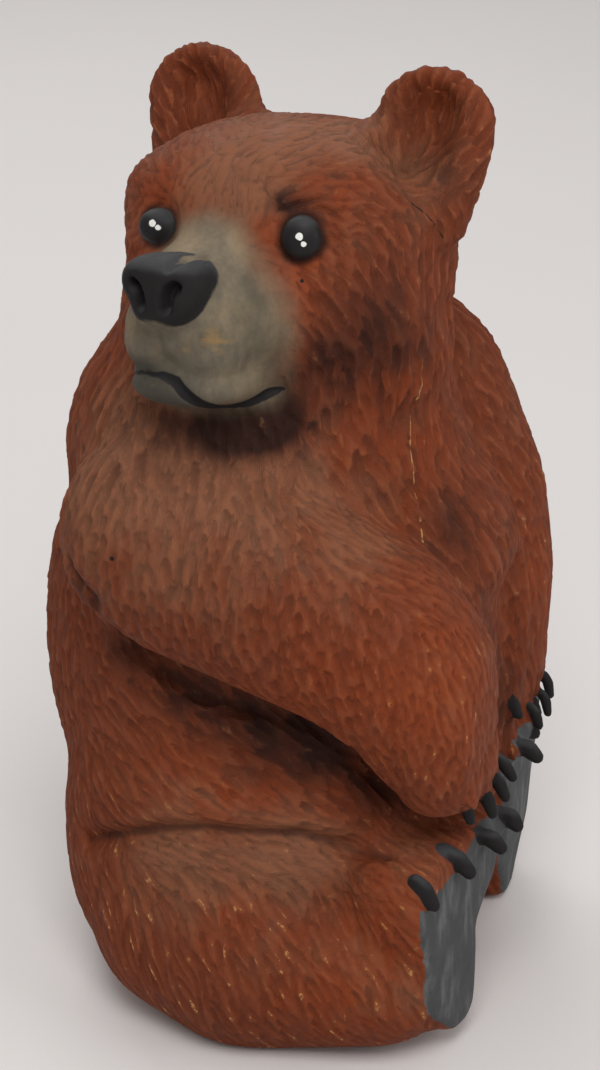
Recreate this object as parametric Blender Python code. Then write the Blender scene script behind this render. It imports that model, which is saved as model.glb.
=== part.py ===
"""Carved wooden bear, seated, its head turned over its right shoulder.

One block of wood, carved and painted.  The origin is in the middle of the
underside, +Z is up, the body faces -Y and the bear's own right side is -X.
Every place and every length of the carving is a share of its height.
"""

from math import cos, pi, radians, sin

import bmesh
import bpy
import numpy as np
from mathutils import Matrix, Vector
from mathutils.bvhtree import BVHTree

# Overall size, underside to ear tips, in metres
HEIGHT = 0.47

# How the block is worked: cell of each working stage, as a share of the height
ROUGH_CELL = 0.0085
SHAPE_CELL = 0.0062
CARVE_CELL = 0.0048
FACES = 9200

# Trunk
RUMP_PLACE = (0.0, 0.020, 0.175)
RUMP_SIZE = (0.242, 0.221, 0.204)
BELLY_PLACE = (0.0, 0.013, 0.375)
BELLY_SIZE = (0.198, 0.262, 0.300)
CHEST_PLACE = (0.0, 0.036, 0.585)
CHEST_SIZE = (0.200, 0.212, 0.190)
NECK_PLACE = (-0.005, 0.012, 0.715)
NECK_SIZE = (0.160, 0.175, 0.130)

# Legs, stretched forward along the ground
HIP = (0.142, 0.066, 0.105)
KNEE = (0.148, 0.000, 0.102)
ANKLE = (0.150, -0.130, 0.098)
HIP_GIRTH = 0.118
KNEE_GIRTH = 0.134
ANKLE_GIRTH = 0.104

# Feet, heels down and soles forward
FOOT_HEIGHT = 0.254
HEEL_INNER = 0.116
HEEL_OUTER = 0.182
TOES_INNER = 0.054
TOES_OUTER = 0.246
FOOT_DEPTH = 0.075
RIGHT_FOOT_REACH = 0.229
LEFT_FOOT_REACH = 0.214
RIGHT_HEEL_HEIGHT = 0.056
LEFT_HEEL_HEIGHT = 0.036
SOLE_STOCK = 0.030
SOLE_TURN = radians(13.0)
RIGHT_SOLE_LEAN = radians(0.0)
LEFT_SOLE_LEAN = radians(2.5)

# Right arm, laid across towards the toes
RIGHT_ARM = (
    ((-0.150, 0.085, 0.545), (0.110, 0.118, 0.122)),
    ((-0.174, -0.020, 0.520), (0.104, 0.110, 0.112)),
    ((-0.174, -0.125, 0.478), (0.098, 0.106, 0.104)),
    ((-0.163, -0.180, 0.415), (0.092, 0.088, 0.092)),
    ((-0.154, -0.198, 0.365), (0.088, 0.066, 0.068)),
)

# Left arm, hanging forward to the left foot
LEFT_ARM = (
    ((0.148, -0.060, 0.585), (0.108, 0.130, 0.142)),
    ((0.160, -0.110, 0.490), (0.105, 0.116, 0.110)),
    ((0.160, -0.143, 0.400), (0.095, 0.094, 0.100)),
    ((0.158, -0.158, 0.335), (0.080, 0.076, 0.080)),
    ((0.156, -0.170, 0.288), (0.074, 0.064, 0.056)),
)

# Head: its place and how it is turned, lifted and tilted
HEAD_PLACE = (-0.006, 0.010, 0.812)
HEAD_TURN = radians(-104.0)
HEAD_LIFT = radians(-9.0)
HEAD_TILT = radians(-5.0)
SKULL_PLACE = (0.0, 0.008, -0.002)
SKULL_SIZE = (0.160, 0.150, 0.130)
SKULL_SQUARE = 2.7
BROW_PLACE = (0.0, -0.050, 0.046)
BROW_SIZE = (0.152, 0.078, 0.064)
CHEEK_PLACE = (0.0, -0.020, -0.055)
CHEEK_SIZE = (0.172, 0.125, 0.095)
JAW_PLACE = (0.0, 0.000, -0.090)
JAW_SIZE = (0.140, 0.128, 0.085)

# Muzzle
MUZZLE = (
    ((0.000, -0.055, -0.030), (0.134, 0.078, 0.100)),
    ((0.000, -0.112, -0.040), (0.094, 0.070, 0.078)),
    ((-0.008, -0.164, -0.048), (0.062, 0.048, 0.062)),
)
FLEW_PLACE = (0.028, -0.158, -0.062)
FLEW_SIZE = (0.043, 0.046, 0.040)
CHIN_PLACE = (-0.004, -0.130, -0.110)
CHIN_SIZE = (0.062, 0.056, 0.037)

# Ears
EAR_ROOT = (0.126, 0.040, 0.044)
EAR_ROOT_SIZE = (0.058, 0.044, 0.056)
EAR_BLADE_SIZE = (0.071, 0.028, 0.064)
RIGHT_EAR_PLACE = (-0.135, 0.052, 0.130)
LEFT_EAR_PLACE = (0.136, 0.052, 0.121)

# Eyes, set a little unevenly by hand
RIGHT_EYE = (-0.074, 0.026)
LEFT_EYE = (0.088, 0.026)
EYE_GIRTH = 0.0225
EYE_SUNK = 0.0135
SOCKET_REACH = 0.050
SOCKET_DEPTH = 0.006

# Nose
NOSE_PLACE = (-0.010, -0.198, -0.010)
NOSE_SIZE = (0.047, 0.036, 0.026)
NOSE_TIP_PLACE = (-0.010, -0.206, -0.030)
NOSE_TIP_SIZE = (0.034, 0.027, 0.026)
NOSTRIL_GAP = 0.019
NOSTRIL_DROP = 0.010
NOSTRIL_REACH = 0.014
NOSTRIL_DEPTH = 0.014

# Mouth: its height at the middle and at the corners, seen round the muzzle
MOUTH_MIDDLE = -0.016
MOUTH_HEIGHT = -0.092
MOUTH_DROP = 0.032
MOUTH_TURN = radians(62.0)
MOUTH_WIDTH = 0.017
MOUTH_DEPTH = 0.0085

# Ear hollows
HOLLOW_REACH = 0.058
HOLLOW_LENGTH = 0.028
HOLLOW_DEPTH = 0.017

# Creases under the arms and on the thighs
CREASE_WIDTH = 0.036
ARM_CREASE_DEPTH = 0.018
THIGH_CREASE_DEPTH = 0.009

# Brown paint, dull
PAINT_COLOUR = (0.150, 0.050, 0.027, 1.0)
PAINT_ROUGHNESS = 0.65

# Claws, four to a paw
CLAWS = 4
CLAW_GIRTH = 0.0138
CLAW_LENGTH = 0.044
FOOT_CLAW_GAP = 0.055
PAW_CLAW_GAP = 0.038


def at(share):
    """A place or a size given as shares of the height, in metres."""
    return Vector(share) * HEIGHT


def mirrored(share, side):
    """The same place on the right (-1) or the left (+1) of the middle."""
    return (share[0] * side, share[1], share[2])


def head_frame():
    """Head coordinates: x to the bear's left, -y out of its face, z up."""
    place = Matrix.Translation(at(HEAD_PLACE))
    turn = Matrix.Rotation(HEAD_TURN, 4, "Z")
    lift = Matrix.Rotation(HEAD_LIFT, 4, "X")
    tilt = Matrix.Rotation(HEAD_TILT, 4, "Y")
    return place @ turn @ lift @ tilt


def ball(form, place, size, frame=None, square=2.0, detail=4):
    """Adds a closed ball stretched to three half-sizes; square above 2 makes it boxier."""
    middle = at(place)
    half = at(size)
    frame = frame or Matrix.Identity(4)
    made = bmesh.ops.create_icosphere(form, subdivisions=detail, radius=1.0)
    for vert in made["verts"]:
        way = vert.co.normalized()
        reach = sum(abs(part) ** square for part in way) ** (1.0 / square)
        local = Vector((way.x * half.x, way.y * half.y, way.z * half.z)) / reach
        vert.co = frame @ (middle + local)


def limb(form, stations, frame=None, steps=5):
    """Adds a limb: balls closely strung along a line through the stations."""
    for here, there in zip(stations, stations[1:]):
        for step in range(steps + 1):
            share = step / steps
            place = Vector(here[0]).lerp(Vector(there[0]), share)
            girth_here = here[1] if hasattr(here[1], "__len__") else (here[1],) * 3
            girth_there = there[1] if hasattr(there[1], "__len__") else (there[1],) * 3
            girth = Vector(girth_here).lerp(Vector(girth_there), share)
            ball(form, place, girth, frame, detail=3)


def thing(name, form):
    """Makes an object of a finished bmesh and frees it."""
    mesh = bpy.data.meshes.new(name)
    form.to_mesh(mesh)
    form.free()
    made = bpy.data.objects.new(name, mesh)
    bpy.context.scene.collection.objects.link(made)
    return made


def settled(made):
    """Replaces the object's mesh by what its modifiers make of it."""
    graph = bpy.context.evaluated_depsgraph_get()
    mesh = bpy.data.meshes.new_from_object(made.evaluated_get(graph))
    made.modifiers.clear()
    old = made.data
    made.data = mesh
    bpy.data.meshes.remove(old)
    return made


def merged(made, cell, rounds):
    """Fuses all closed forms in the object into one skin and softens it."""
    fuse = made.modifiers.new("fuse", "REMESH")
    fuse.mode = "VOXEL"
    fuse.voxel_size = cell * HEIGHT
    fuse.adaptivity = 0.0
    if rounds:
        soften = made.modifiers.new("soften", "SMOOTH")
        soften.factor = 0.5
        soften.iterations = rounds
    return settled(made)


def eased(share):
    """Runs from 0 to 1 with a level start and end."""
    share = min(max(share, 0.0), 1.0)
    return share * share * (3.0 - 2.0 * share)


def foot(form, side, reach, heel_height):
    """Adds a foot: levels of rounded slab, a narrow heel spreading late into wide toes."""
    levels = 12
    for level in range(levels):
        share = level / (levels - 1)
        outer = HEEL_OUTER + (TOES_OUTER - HEEL_OUTER) * sin(share * pi / 2.0)
        inner = HEEL_INNER + (TOES_INNER - HEEL_INNER) * eased((share - 0.55) / 0.35)
        deep = FOOT_DEPTH * (0.80 + 0.20 * share)
        height = heel_height + (FOOT_HEIGHT - 0.036 - heel_height) * share
        place = (side * (inner + outer) / 2.0, -reach - SOLE_STOCK + deep, height)
        ball(form, place, ((outer - inner) / 2.0, deep, 0.036), square=3.0, detail=3)


def soled(made, side, reach, lean):
    """Pares the front of a foot down to the flat, outward-turned sole."""
    point = at((side * (TOES_INNER + TOES_OUTER) / 2.0, -reach, 0.0))
    turned = Matrix.Rotation(side * SOLE_TURN, 3, "Z") @ Matrix.Rotation(lean, 3, "X")
    out = turned @ Vector((0.0, -1.0, 0.0))
    top = (FOOT_HEIGHT + 0.014) * HEIGHT
    for vert in made.data.vertices:
        proud = (vert.co - point).dot(out)
        if proud > 0.0 and side * vert.co.x > 0.0 and vert.co.z < top:
            vert.co -= out * proud


def rough_block():
    """The big masses, fused and softened."""
    form = bmesh.new()
    ball(form, RUMP_PLACE, RUMP_SIZE, square=2.7)
    ball(form, BELLY_PLACE, BELLY_SIZE, square=2.3)
    ball(form, CHEST_PLACE, CHEST_SIZE)
    ball(form, NECK_PLACE, NECK_SIZE)
    frame = head_frame()
    ball(form, SKULL_PLACE, SKULL_SIZE, frame, square=SKULL_SQUARE)
    ball(form, BROW_PLACE, BROW_SIZE, frame, square=2.6)
    ball(form, CHEEK_PLACE, CHEEK_SIZE, frame)
    ball(form, JAW_PLACE, JAW_SIZE, frame)
    return merged(thing("bear", form), ROUGH_CELL, 22)


def shaped(made):
    """Adds limbs, muzzle and ears to the rough block."""
    form = bmesh.new()
    form.from_mesh(made.data)
    for side in (-1, 1):
        limb(form, (
            (mirrored(HIP, side), HIP_GIRTH),
            (mirrored(KNEE, side), KNEE_GIRTH),
            (mirrored(ANKLE, side), ANKLE_GIRTH),
        ))
    foot(form, -1, RIGHT_FOOT_REACH, RIGHT_HEEL_HEIGHT)
    foot(form, 1, LEFT_FOOT_REACH, LEFT_HEEL_HEIGHT)
    limb(form, RIGHT_ARM)
    limb(form, LEFT_ARM)
    frame = head_frame()
    limb(form, MUZZLE, frame)
    for side in (-1, 1):
        place = (side * FLEW_PLACE[0] + NOSE_PLACE[0], FLEW_PLACE[1], FLEW_PLACE[2])
        ball(form, place, FLEW_SIZE, frame)
    ball(form, CHIN_PLACE, CHIN_SIZE, frame)
    for side, blade in ((-1, RIGHT_EAR_PLACE), (1, LEFT_EAR_PLACE)):
        root = mirrored(EAR_ROOT, side)
        limb(form, ((root, EAR_ROOT_SIZE), (blade, EAR_BLADE_SIZE)), frame)
    form.to_mesh(made.data)
    form.free()
    merged(made, SHAPE_CELL, 9)
    soled(made, -1, RIGHT_FOOT_REACH, RIGHT_SOLE_LEAN)
    soled(made, 1, LEFT_FOOT_REACH, LEFT_SOLE_LEAN)
    return made


def surface(tree, start, way):
    """The outermost point of the skin met from start along way, and the skin's normal there."""
    way = way.normalized()
    spot, normal, _, _ = tree.ray_cast(start + way * HEIGHT, -way)
    return spot, normal


def line_on_side(tree, side, corners, steps=6):
    """A line on one flank through (y, z) corners, both shares of the height."""
    line = []
    for here, there in zip(corners, corners[1:]):
        for step in range(steps + (there == corners[-1])):
            share = step / steps
            depth = here[0] + (there[0] - here[0]) * share
            height = here[1] + (there[1] - here[1]) * share
            spot, _ = surface(tree, at((0.0, depth, height)), Vector((side, 0.0, 0.0)))
            line.append(spot)
    return line


def mouth_line(tree, frame, lift=0.0, steps=16):
    """The mouth: a line round the muzzle, dipping from its middle to the corners."""
    line = []
    for step in range(-steps, steps + 1):
        share = step / steps
        turn = share * MOUTH_TURN
        height = MOUTH_HEIGHT + lift - MOUTH_DROP * eased(abs(share) * 1.9)
        height += 0.22 * MOUTH_DROP * eased((abs(share) - 0.6) / 0.4)
        start = frame @ at((MOUTH_MIDDLE * (1.0 - abs(share)), -0.085, height))
        way = frame.to_3x3() @ Vector((sin(turn), -cos(turn), 0.0))
        spot, _ = surface(tree, start, way)
        line.append(spot)
    return line


def gaps(spots, line):
    """How far each spot is from a bent line."""
    nearest = np.full(len(spots), np.inf)
    line = [np.array(spot) for spot in line]
    for here, there in zip(line, line[1:]):
        along = there - here
        share = np.clip((spots - here) @ along / (along @ along + 1e-12), 0.0, 1.0)
        gap = np.linalg.norm(spots - here - share[:, None] * along, axis=1)
        nearest = np.minimum(nearest, gap)
    return nearest


def pushed(made, amount):
    """Moves every vertex in along its own normal by its amount."""
    mesh = made.data
    spots = np.empty(len(mesh.vertices) * 3)
    ways = np.empty(len(mesh.vertices) * 3)
    mesh.vertices.foreach_get("co", spots)
    mesh.vertices.foreach_get("normal", ways)
    spots = spots.reshape(-1, 3)
    spots -= ways.reshape(-1, 3) * amount(spots)[:, None]
    mesh.vertices.foreach_set("co", spots.ravel())
    mesh.update()


def groove(made, line, width, depth):
    """Cuts a rounded groove along a line on the skin."""
    def amount(spots):
        near = np.clip(1.0 - gaps(spots, line) / (width * HEIGHT), 0.0, 1.0)
        return depth * HEIGHT * near * near * (3.0 - 2.0 * near)
    pushed(made, amount)


def hollow(made, spot, reach, depth):
    """Scoops a shallow round hollow about a spot."""
    groove(made, (spot, spot), reach, depth)


def claw(form, root, way, length=CLAW_LENGTH):
    """Adds a claw: a thick root, a raised middle and a blunt tip, pointing along way."""
    way = Vector(way).normalized()
    rise = Vector((0.0, 0.0, 1.0)) - way * way.z
    root = Vector(root)
    middle = root + way * length * 0.5 + rise * length * 0.10
    tip = root + way * length
    limb(form, (
        (root, CLAW_GIRTH * 0.85),
        (middle, CLAW_GIRTH),
        (tip, CLAW_GIRTH * 0.72),
    ), steps=3)


def clawed_feet(form):
    """Claws along the top edge of each sole."""
    for side, reach, lean in (
        (-1, RIGHT_FOOT_REACH, RIGHT_SOLE_LEAN),
        (1, LEFT_FOOT_REACH, LEFT_SOLE_LEAN),
    ):
        middle = (TOES_INNER + TOES_OUTER) / 2.0
        for toe in range(CLAWS):
            across = middle + 0.003 + FOOT_CLAW_GAP * (toe - (CLAWS - 1) / 2.0)
            height = FOOT_HEIGHT - 0.004 - 0.010 * (toe == CLAWS - 1)
            front = -reach + (across - middle) * sin(SOLE_TURN) / cos(SOLE_TURN)
            front -= FOOT_HEIGHT * sin(lean)
            root = (side * across, front + 0.015, height)
            claw(form, root, (-side * 0.20, -0.50, -0.84), CLAW_LENGTH)


def clawed_paws(form):
    """Claws hanging from the front of each hand."""
    for side, hand in ((-1, RIGHT_ARM[-1]), (1, LEFT_ARM[-1])):
        (across, deep, height), size = hand
        for finger in range(CLAWS):
            share = finger - (CLAWS - 1) / 2.0
            root = (
                across - side * 0.018 + side * PAW_CLAW_GAP * share,
                deep - size[1] * 0.72 + abs(share) * 0.006,
                height - size[2] * 0.45,
            )
            claw(form, root, (0.0, -0.40, -0.92), CLAW_LENGTH * 0.75)


def faced(form, tree):
    """Adds the eyes and the nose."""
    frame = head_frame()
    ahead = frame.to_3x3() @ Vector((0.0, -1.0, 0.0))
    for across, height in (RIGHT_EYE, LEFT_EYE):
        spot, _ = surface(tree, frame @ at((across, 0.0, height)), ahead)
        middle = spot - ahead * EYE_SUNK * HEIGHT
        ball(form, middle / HEIGHT, (EYE_GIRTH,) * 3)
    ball(form, NOSE_PLACE, NOSE_SIZE, frame, square=2.5)
    ball(form, NOSE_TIP_PLACE, NOSE_TIP_SIZE, frame, square=2.3)


def carved(made):
    """Cuts the creases, sockets and hollows, then adds face and claws."""
    frame = head_frame()
    ahead = frame.to_3x3() @ Vector((0.0, -1.0, 0.0))
    form = bmesh.new()
    form.from_mesh(made.data)
    tree = BVHTree.FromBMesh(form)
    form.free()
    for side in (-1, 1):
        under = line_on_side(tree, side, (
            (0.140, 0.460), (0.110, 0.430), (0.040, 0.396), (-0.050, 0.392),
            (-0.110, 0.365), (-0.150, 0.310),
        ) if side < 0 else ((0.045, 0.600), (-0.005, 0.480), (-0.060, 0.380), (-0.115, 0.285)))
        groove(made, under, CREASE_WIDTH, ARM_CREASE_DEPTH)
        thigh = line_on_side(tree, side, (
            (0.165, 0.205), (0.086, 0.243), (-0.020, 0.258), (-0.120, 0.250),
        ))
        groove(made, thigh, CREASE_WIDTH * 0.8, THIGH_CREASE_DEPTH)
        place = RIGHT_EAR_PLACE if side < 0 else LEFT_EAR_PLACE
        line = []
        for drop in (0.0, HOLLOW_LENGTH / 2.0, HOLLOW_LENGTH):
            across = place[0] - side * 0.12 * drop
            spot, _ = surface(tree, frame @ at((across, 0.0, place[2] + 0.004 - drop)), ahead)
            line.append(spot)
        groove(made, line, HOLLOW_REACH, HOLLOW_DEPTH)
    for across, height in (RIGHT_EYE, LEFT_EYE):
        spot, _ = surface(tree, frame @ at((across, 0.0, height)), ahead)
        hollow(made, spot, SOCKET_REACH, SOCKET_DEPTH)
    form = bmesh.new()
    form.from_mesh(made.data)
    faced(form, tree)
    clawed_feet(form)
    clawed_paws(form)
    form.to_mesh(made.data)
    form.free()
    merged(made, CARVE_CELL, 1)
    form = bmesh.new()
    form.from_mesh(made.data)
    tree = BVHTree.FromBMesh(form)
    form.free()
    groove(made, mouth_line(tree, frame), MOUTH_WIDTH, MOUTH_DEPTH)
    for side in (-1, 1):
        start = at((NOSE_PLACE[0] + side * NOSTRIL_GAP, 0.0, NOSE_PLACE[2] - NOSTRIL_DROP))
        spot, _ = surface(tree, frame @ start, ahead)
        hollow(made, spot, NOSTRIL_REACH, NOSTRIL_DEPTH)
    return made


def stood(made):
    """Cuts the underside flat at the ground."""
    form = bmesh.new()
    form.from_mesh(made.data)
    cut = bmesh.ops.bisect_plane(
        form,
        geom=form.verts[:] + form.edges[:] + form.faces[:],
        plane_co=(0.0, 0.0, 0.0),
        plane_no=(0.0, 0.0, -1.0),
        clear_outer=True,
    )
    rim = [item for item in cut["geom_cut"] if isinstance(item, bmesh.types.BMEdge)]
    bmesh.ops.holes_fill(form, edges=rim, sides=0)
    bmesh.ops.triangulate(form, faces=form.faces[:])
    form.to_mesh(made.data)
    form.free()
    return made


def thinned(made):
    """Keeps as many faces as the form needs."""
    thin = made.modifiers.new("thin", "DECIMATE")
    thin.ratio = FACES / len(made.data.polygons)
    settled(made)
    for vert in made.data.vertices:
        if vert.co.z < 0.0006 * HEIGHT:
            vert.co.z = 0.0
    return made


def painted(made):
    """Gives the bear its painted-wood surface."""
    paint = bpy.data.materials.new("painted_wood")
    paint.use_nodes = True
    shader = paint.node_tree.nodes["Principled BSDF"]
    shader.inputs["Base Color"].default_value = PAINT_COLOUR
    shader.inputs["Roughness"].default_value = PAINT_ROUGHNESS
    shader.inputs["Metallic"].default_value = 0.0
    made.data.materials.clear()
    made.data.materials.append(paint)
    made.data.shade_smooth()
    return made


def main():
    """Builds the bear."""
    for old in list(bpy.data.objects):
        bpy.data.objects.remove(old, do_unlink=True)
    bear = shaped(rough_block())
    bear = thinned(stood(carved(bear)))
    return painted(bear)


if __name__ == "__main__":
    main()
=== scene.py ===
"""Carved wooden bear: the cut fur, the face and the paint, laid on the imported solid.

Head coordinates run x to the bear's left, -y out of its face and z up.  Places
and sizes given as shares are shares of the bear's height.
"""
import logging
from dataclasses import dataclass
from enum import Enum
from math import cos, pi, radians, sin, tan

import bmesh
import bpy
import numpy as np
from mathutils import Matrix, Vector
from mathutils.bvhtree import BVHTree
from mathutils.kdtree import KDTree


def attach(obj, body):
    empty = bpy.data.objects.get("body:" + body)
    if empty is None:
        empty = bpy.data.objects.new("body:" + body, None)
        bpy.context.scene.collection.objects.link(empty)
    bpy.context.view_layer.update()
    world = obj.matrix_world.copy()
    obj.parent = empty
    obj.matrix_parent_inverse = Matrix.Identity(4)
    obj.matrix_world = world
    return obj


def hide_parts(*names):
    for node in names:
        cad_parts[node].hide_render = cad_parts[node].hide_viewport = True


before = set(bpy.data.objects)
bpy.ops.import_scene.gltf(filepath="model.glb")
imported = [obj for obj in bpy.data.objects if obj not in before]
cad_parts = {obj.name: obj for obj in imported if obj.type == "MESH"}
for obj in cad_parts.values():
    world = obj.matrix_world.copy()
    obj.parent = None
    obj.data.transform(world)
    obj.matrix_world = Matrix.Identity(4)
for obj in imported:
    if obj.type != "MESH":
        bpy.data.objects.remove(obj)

log = logging.getLogger("carved_bear")

Share = tuple[float, float, float]
Line = list[Vector]
Colour = tuple[float, float, float, float]
Socket = bpy.types.NodeSocket

# The bear's height and a millimetre in metres, the seed of the gouge's lots, the triangles kept,
# a distance in mm that no paint reaches, and what keeps a division by nothing from failing
HEIGHT = 0.47
MM = 0.001
SEED = 7
FACES = 198000
FAR = 99.0
TINY = 1e-12


def at(share: Share) -> Vector:
    """A place or a size given as shares of the height, in metres."""
    return Vector(share) * HEIGHT


def mirrored(share: Share, side: int) -> Share:
    """The same place on the right (-1) or the left (+1) of the middle."""
    return (share[0] * side, share[1], share[2])


def stepped(low: float, high: float, values: np.ndarray) -> np.ndarray:
    """Runs from 0 at low to 1 at high with a level start and end.

    Args:
        low: the value at which the run starts.
        high: the value at which it ends.
        values: what is measured.

    Returns:
        One share from 0 to 1 for each value.
    """
    share = np.clip((values - low) / (high - low), 0.0, 1.0)
    return share * share * (3.0 - 2.0 * share)


def named(lines: dict[str, Line], start: str) -> list[Line]:
    """Those of the lines whose names start so."""
    return [line for name, line in lines.items() if name.startswith(start)]


def narrowed(heights: np.ndarray, taper: float, below: float = 0.25) -> np.ndarray:
    """How wide a tapered form is left at heights from -1 at its foot to 1 at its top."""
    return 1.0 - taper * np.clip(below - heights, 0.0, None)


def gaps(spots: np.ndarray, line: Line) -> np.ndarray:
    """How far each spot is from a bent line.

    Args:
        spots: the places to measure, in metres.
        line: the line's corners.

    Returns:
        One distance for each spot.
    """
    nearest = np.full(len(spots), np.inf)
    corners = [np.array(corner) for corner in line]
    for here, there in zip(corners, corners[1:]):
        along = there - here
        share = np.clip((spots - here) @ along / (along @ along + TINY), 0.0, 1.0)
        gap = np.linalg.norm(spots - here - share[:, None] * along, axis=1)
        nearest = np.minimum(nearest, gap)
    return nearest


class Axis(Enum):
    """The bear's own three ways: to its left, to its back and up."""

    ACROSS = 0
    BACK = 1
    UP = 2


@dataclass(frozen=True)
class Fade:
    """A share that runs from 0 at low to 1 at high along one way, in shares of the height."""

    axis: Axis
    low: float
    high: float


def faded(body: np.ndarray, fades: tuple[Fade, ...]) -> np.ndarray:
    """Several fades at once.

    Args:
        body: places as shares.
        fades: what is multiplied.

    Returns:
        One share from 0 to 1 for each place.
    """
    share = np.ones(len(body))
    for fade in fades:
        share = share * stepped(fade.low, fade.high, body[:, fade.axis.value])
    return share


class Mark(Enum):
    """The gouge's marks, in mm: sweep radius, depth, length, and how far apart across and along."""

    BROAD = (3.6, 1.75, 24.0, 4.7, 9.5)
    LEAF = (3.3, 1.50, 19.0, 4.2, 8.0)
    SCALE = (3.7, 1.20, 15.0, 4.5, 6.5)
    STRAND = (2.8, 0.95, 26.0, 3.8, 10.5)
    FINE = (2.4, 0.70, 15.0, 3.4, 6.5)
    FAINT = (2.8, 0.40, 13.0, 3.6, 6.5)
    RAY = (3.0, 1.70, 22.0, 4.4, 9.5)


@dataclass(frozen=True)
class Groove:
    """A rounded groove: from its bottom to its edge, and its depth, as shares."""

    width: float
    depth: float


@dataclass(frozen=True)
class Tuft:
    """A patch of fur: where it is, which way its cuts run, and with which mark."""

    place: Share
    flow: Share
    mark: Mark
    both: bool = True


BODY_FUR = (
    Tuft((-0.191, 0.081, 0.656), (-0.40, -0.10, -0.90), Mark.BROAD),
    Tuft((-0.184, 0.175, 0.612), (-0.50, 0.05, -0.85), Mark.BROAD),
    Tuft((-0.116, 0.162, 0.689), (-0.49, 0.30, -0.82), Mark.BROAD),
    Tuft((-0.183, -0.019, 0.643), (-0.50, -0.15, -0.80), Mark.BROAD),
    Tuft((-0.249, 0.085, 0.593), (-0.30, 0.02, -0.95), Mark.SCALE),
    Tuft((-0.247, 0.136, 0.553), (0.03, 0.11, -0.99), Mark.SCALE),
    Tuft((-0.265, -0.028, 0.569), (-0.30, -0.08, -0.95), Mark.SCALE),
    Tuft((-0.272, 0.013, 0.519), (0.06, 0.02, -0.99), Mark.SCALE),
    Tuft((-0.230, -0.060, 0.610), (-0.30, -0.45, -0.80), Mark.SCALE),
    Tuft((-0.184, -0.093, 0.606), (-0.01, -0.91, -0.41), Mark.FINE, False),
    Tuft((-0.212, -0.194, 0.543), (0.33, -0.76, -0.56), Mark.FINE, False),
    Tuft((-0.257, -0.161, 0.515), (-0.21, -0.25, -0.93), Mark.SCALE),
    Tuft((-0.250, -0.120, 0.430), (0.00, -0.25, -0.95), Mark.SCALE),
    Tuft((-0.240, 0.095, 0.495), (0.00, -0.05, -1.00), Mark.SCALE),
    Tuft((-0.238, 0.040, 0.455), (0.00, -0.10, -1.00), Mark.SCALE),
    Tuft((-0.240, -0.020, 0.430), (0.00, -0.15, -0.98), Mark.SCALE),
    Tuft((-0.243, -0.085, 0.420), (0.00, -0.20, -0.97), Mark.SCALE),
    Tuft((-0.240, -0.140, 0.385), (0.05, -0.15, -0.98), Mark.SCALE),
    Tuft((-0.226, -0.229, 0.461), (-0.01, -0.42, -0.91), Mark.FINE),
    Tuft((-0.255, -0.189, 0.434), (0.07, -0.18, -0.98), Mark.FINE),
    Tuft((-0.234, -0.229, 0.386), (0.23, -0.10, -0.97), Mark.FINE),
    Tuft((-0.182, 0.100, 0.403), (-0.20, -0.72, -0.62), Mark.LEAF),
    Tuft((-0.200, 0.160, 0.430), (-0.10, -0.30, -0.95), Mark.LEAF),
    Tuft((-0.197, -0.013, 0.345), (0.01, -0.85, -0.50), Mark.LEAF),
    Tuft((-0.180, -0.090, 0.310), (0.01, -0.80, -0.55), Mark.LEAF),
    Tuft((-0.207, 0.115, 0.292), (-0.30, -0.75, -0.50), Mark.STRAND),
    Tuft((-0.136, -0.109, 0.630), (0.13, -0.45, -0.88), Mark.BROAD, False),
    Tuft((-0.087, -0.132, 0.672), (-0.08, -0.17, -0.98), Mark.BROAD),
    Tuft((-0.046, -0.193, 0.570), (0.10, -0.40, -0.88), Mark.BROAD, False),
    Tuft((0.010, -0.211, 0.548), (0.34, -0.36, -0.86), Mark.BROAD, False),
    Tuft((0.000, -0.220, 0.440), (0.10, -0.10, -0.98), Mark.LEAF, False),
    Tuft((-0.034, -0.242, 0.436), (0.30, -0.20, -0.90), Mark.LEAF, False),
    Tuft((0.088, -0.169, 0.596), (0.40, -0.47, -0.80), Mark.BROAD, False),
    Tuft((0.150, -0.200, 0.500), (0.35, -0.30, -0.88), Mark.LEAF, False),
    Tuft((0.150, -0.230, 0.380), (0.20, -0.20, -0.95), Mark.STRAND, False),
    Tuft((0.230, -0.150, 0.480), (0.10, -0.30, -0.95), Mark.LEAF, False),
    Tuft((-0.142, 0.209, 0.400), (-0.04, 0.02, -1.00), Mark.LEAF),
    Tuft((-0.080, 0.250, 0.430), (-0.05, 0.02, -1.00), Mark.BROAD),
    Tuft((-0.060, 0.220, 0.600), (-0.15, 0.15, -0.98), Mark.BROAD),
    Tuft((-0.060, 0.260, 0.280), (-0.10, 0.02, -1.00), Mark.LEAF),
    Tuft((-0.200, 0.172, 0.188), (-0.30, -0.25, -0.90), Mark.STRAND),
    Tuft((-0.080, 0.240, 0.120), (-0.15, 0.00, -1.00), Mark.STRAND),
    Tuft((-0.234, 0.041, 0.232), (-0.11, -0.97, -0.20), Mark.FINE),
    Tuft((-0.210, -0.060, 0.245), (-0.11, -0.97, -0.20), Mark.FINE),
    Tuft((-0.245, 0.037, 0.185), (-0.30, -0.55, -0.75), Mark.STRAND),
    Tuft((-0.239, -0.092, 0.170), (-0.20, -0.60, -0.75), Mark.STRAND),
    Tuft((-0.274, -0.038, 0.108), (-0.03, -0.44, -0.90), Mark.STRAND),
    Tuft((-0.235, -0.170, 0.148), (-0.03, -0.45, -0.88), Mark.STRAND),
    Tuft((-0.227, -0.150, 0.242), (-0.30, -0.75, -0.45), Mark.FINE),
    Tuft((-0.236, 0.132, 0.120), (-0.25, -0.30, -0.92), Mark.STRAND),
    Tuft((-0.240, 0.040, 0.050), (0.05, -0.30, -0.95), Mark.STRAND),
    Tuft((-0.020, -0.190, 0.250), (0.00, -0.10, -1.00), Mark.LEAF, False),
)

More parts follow.
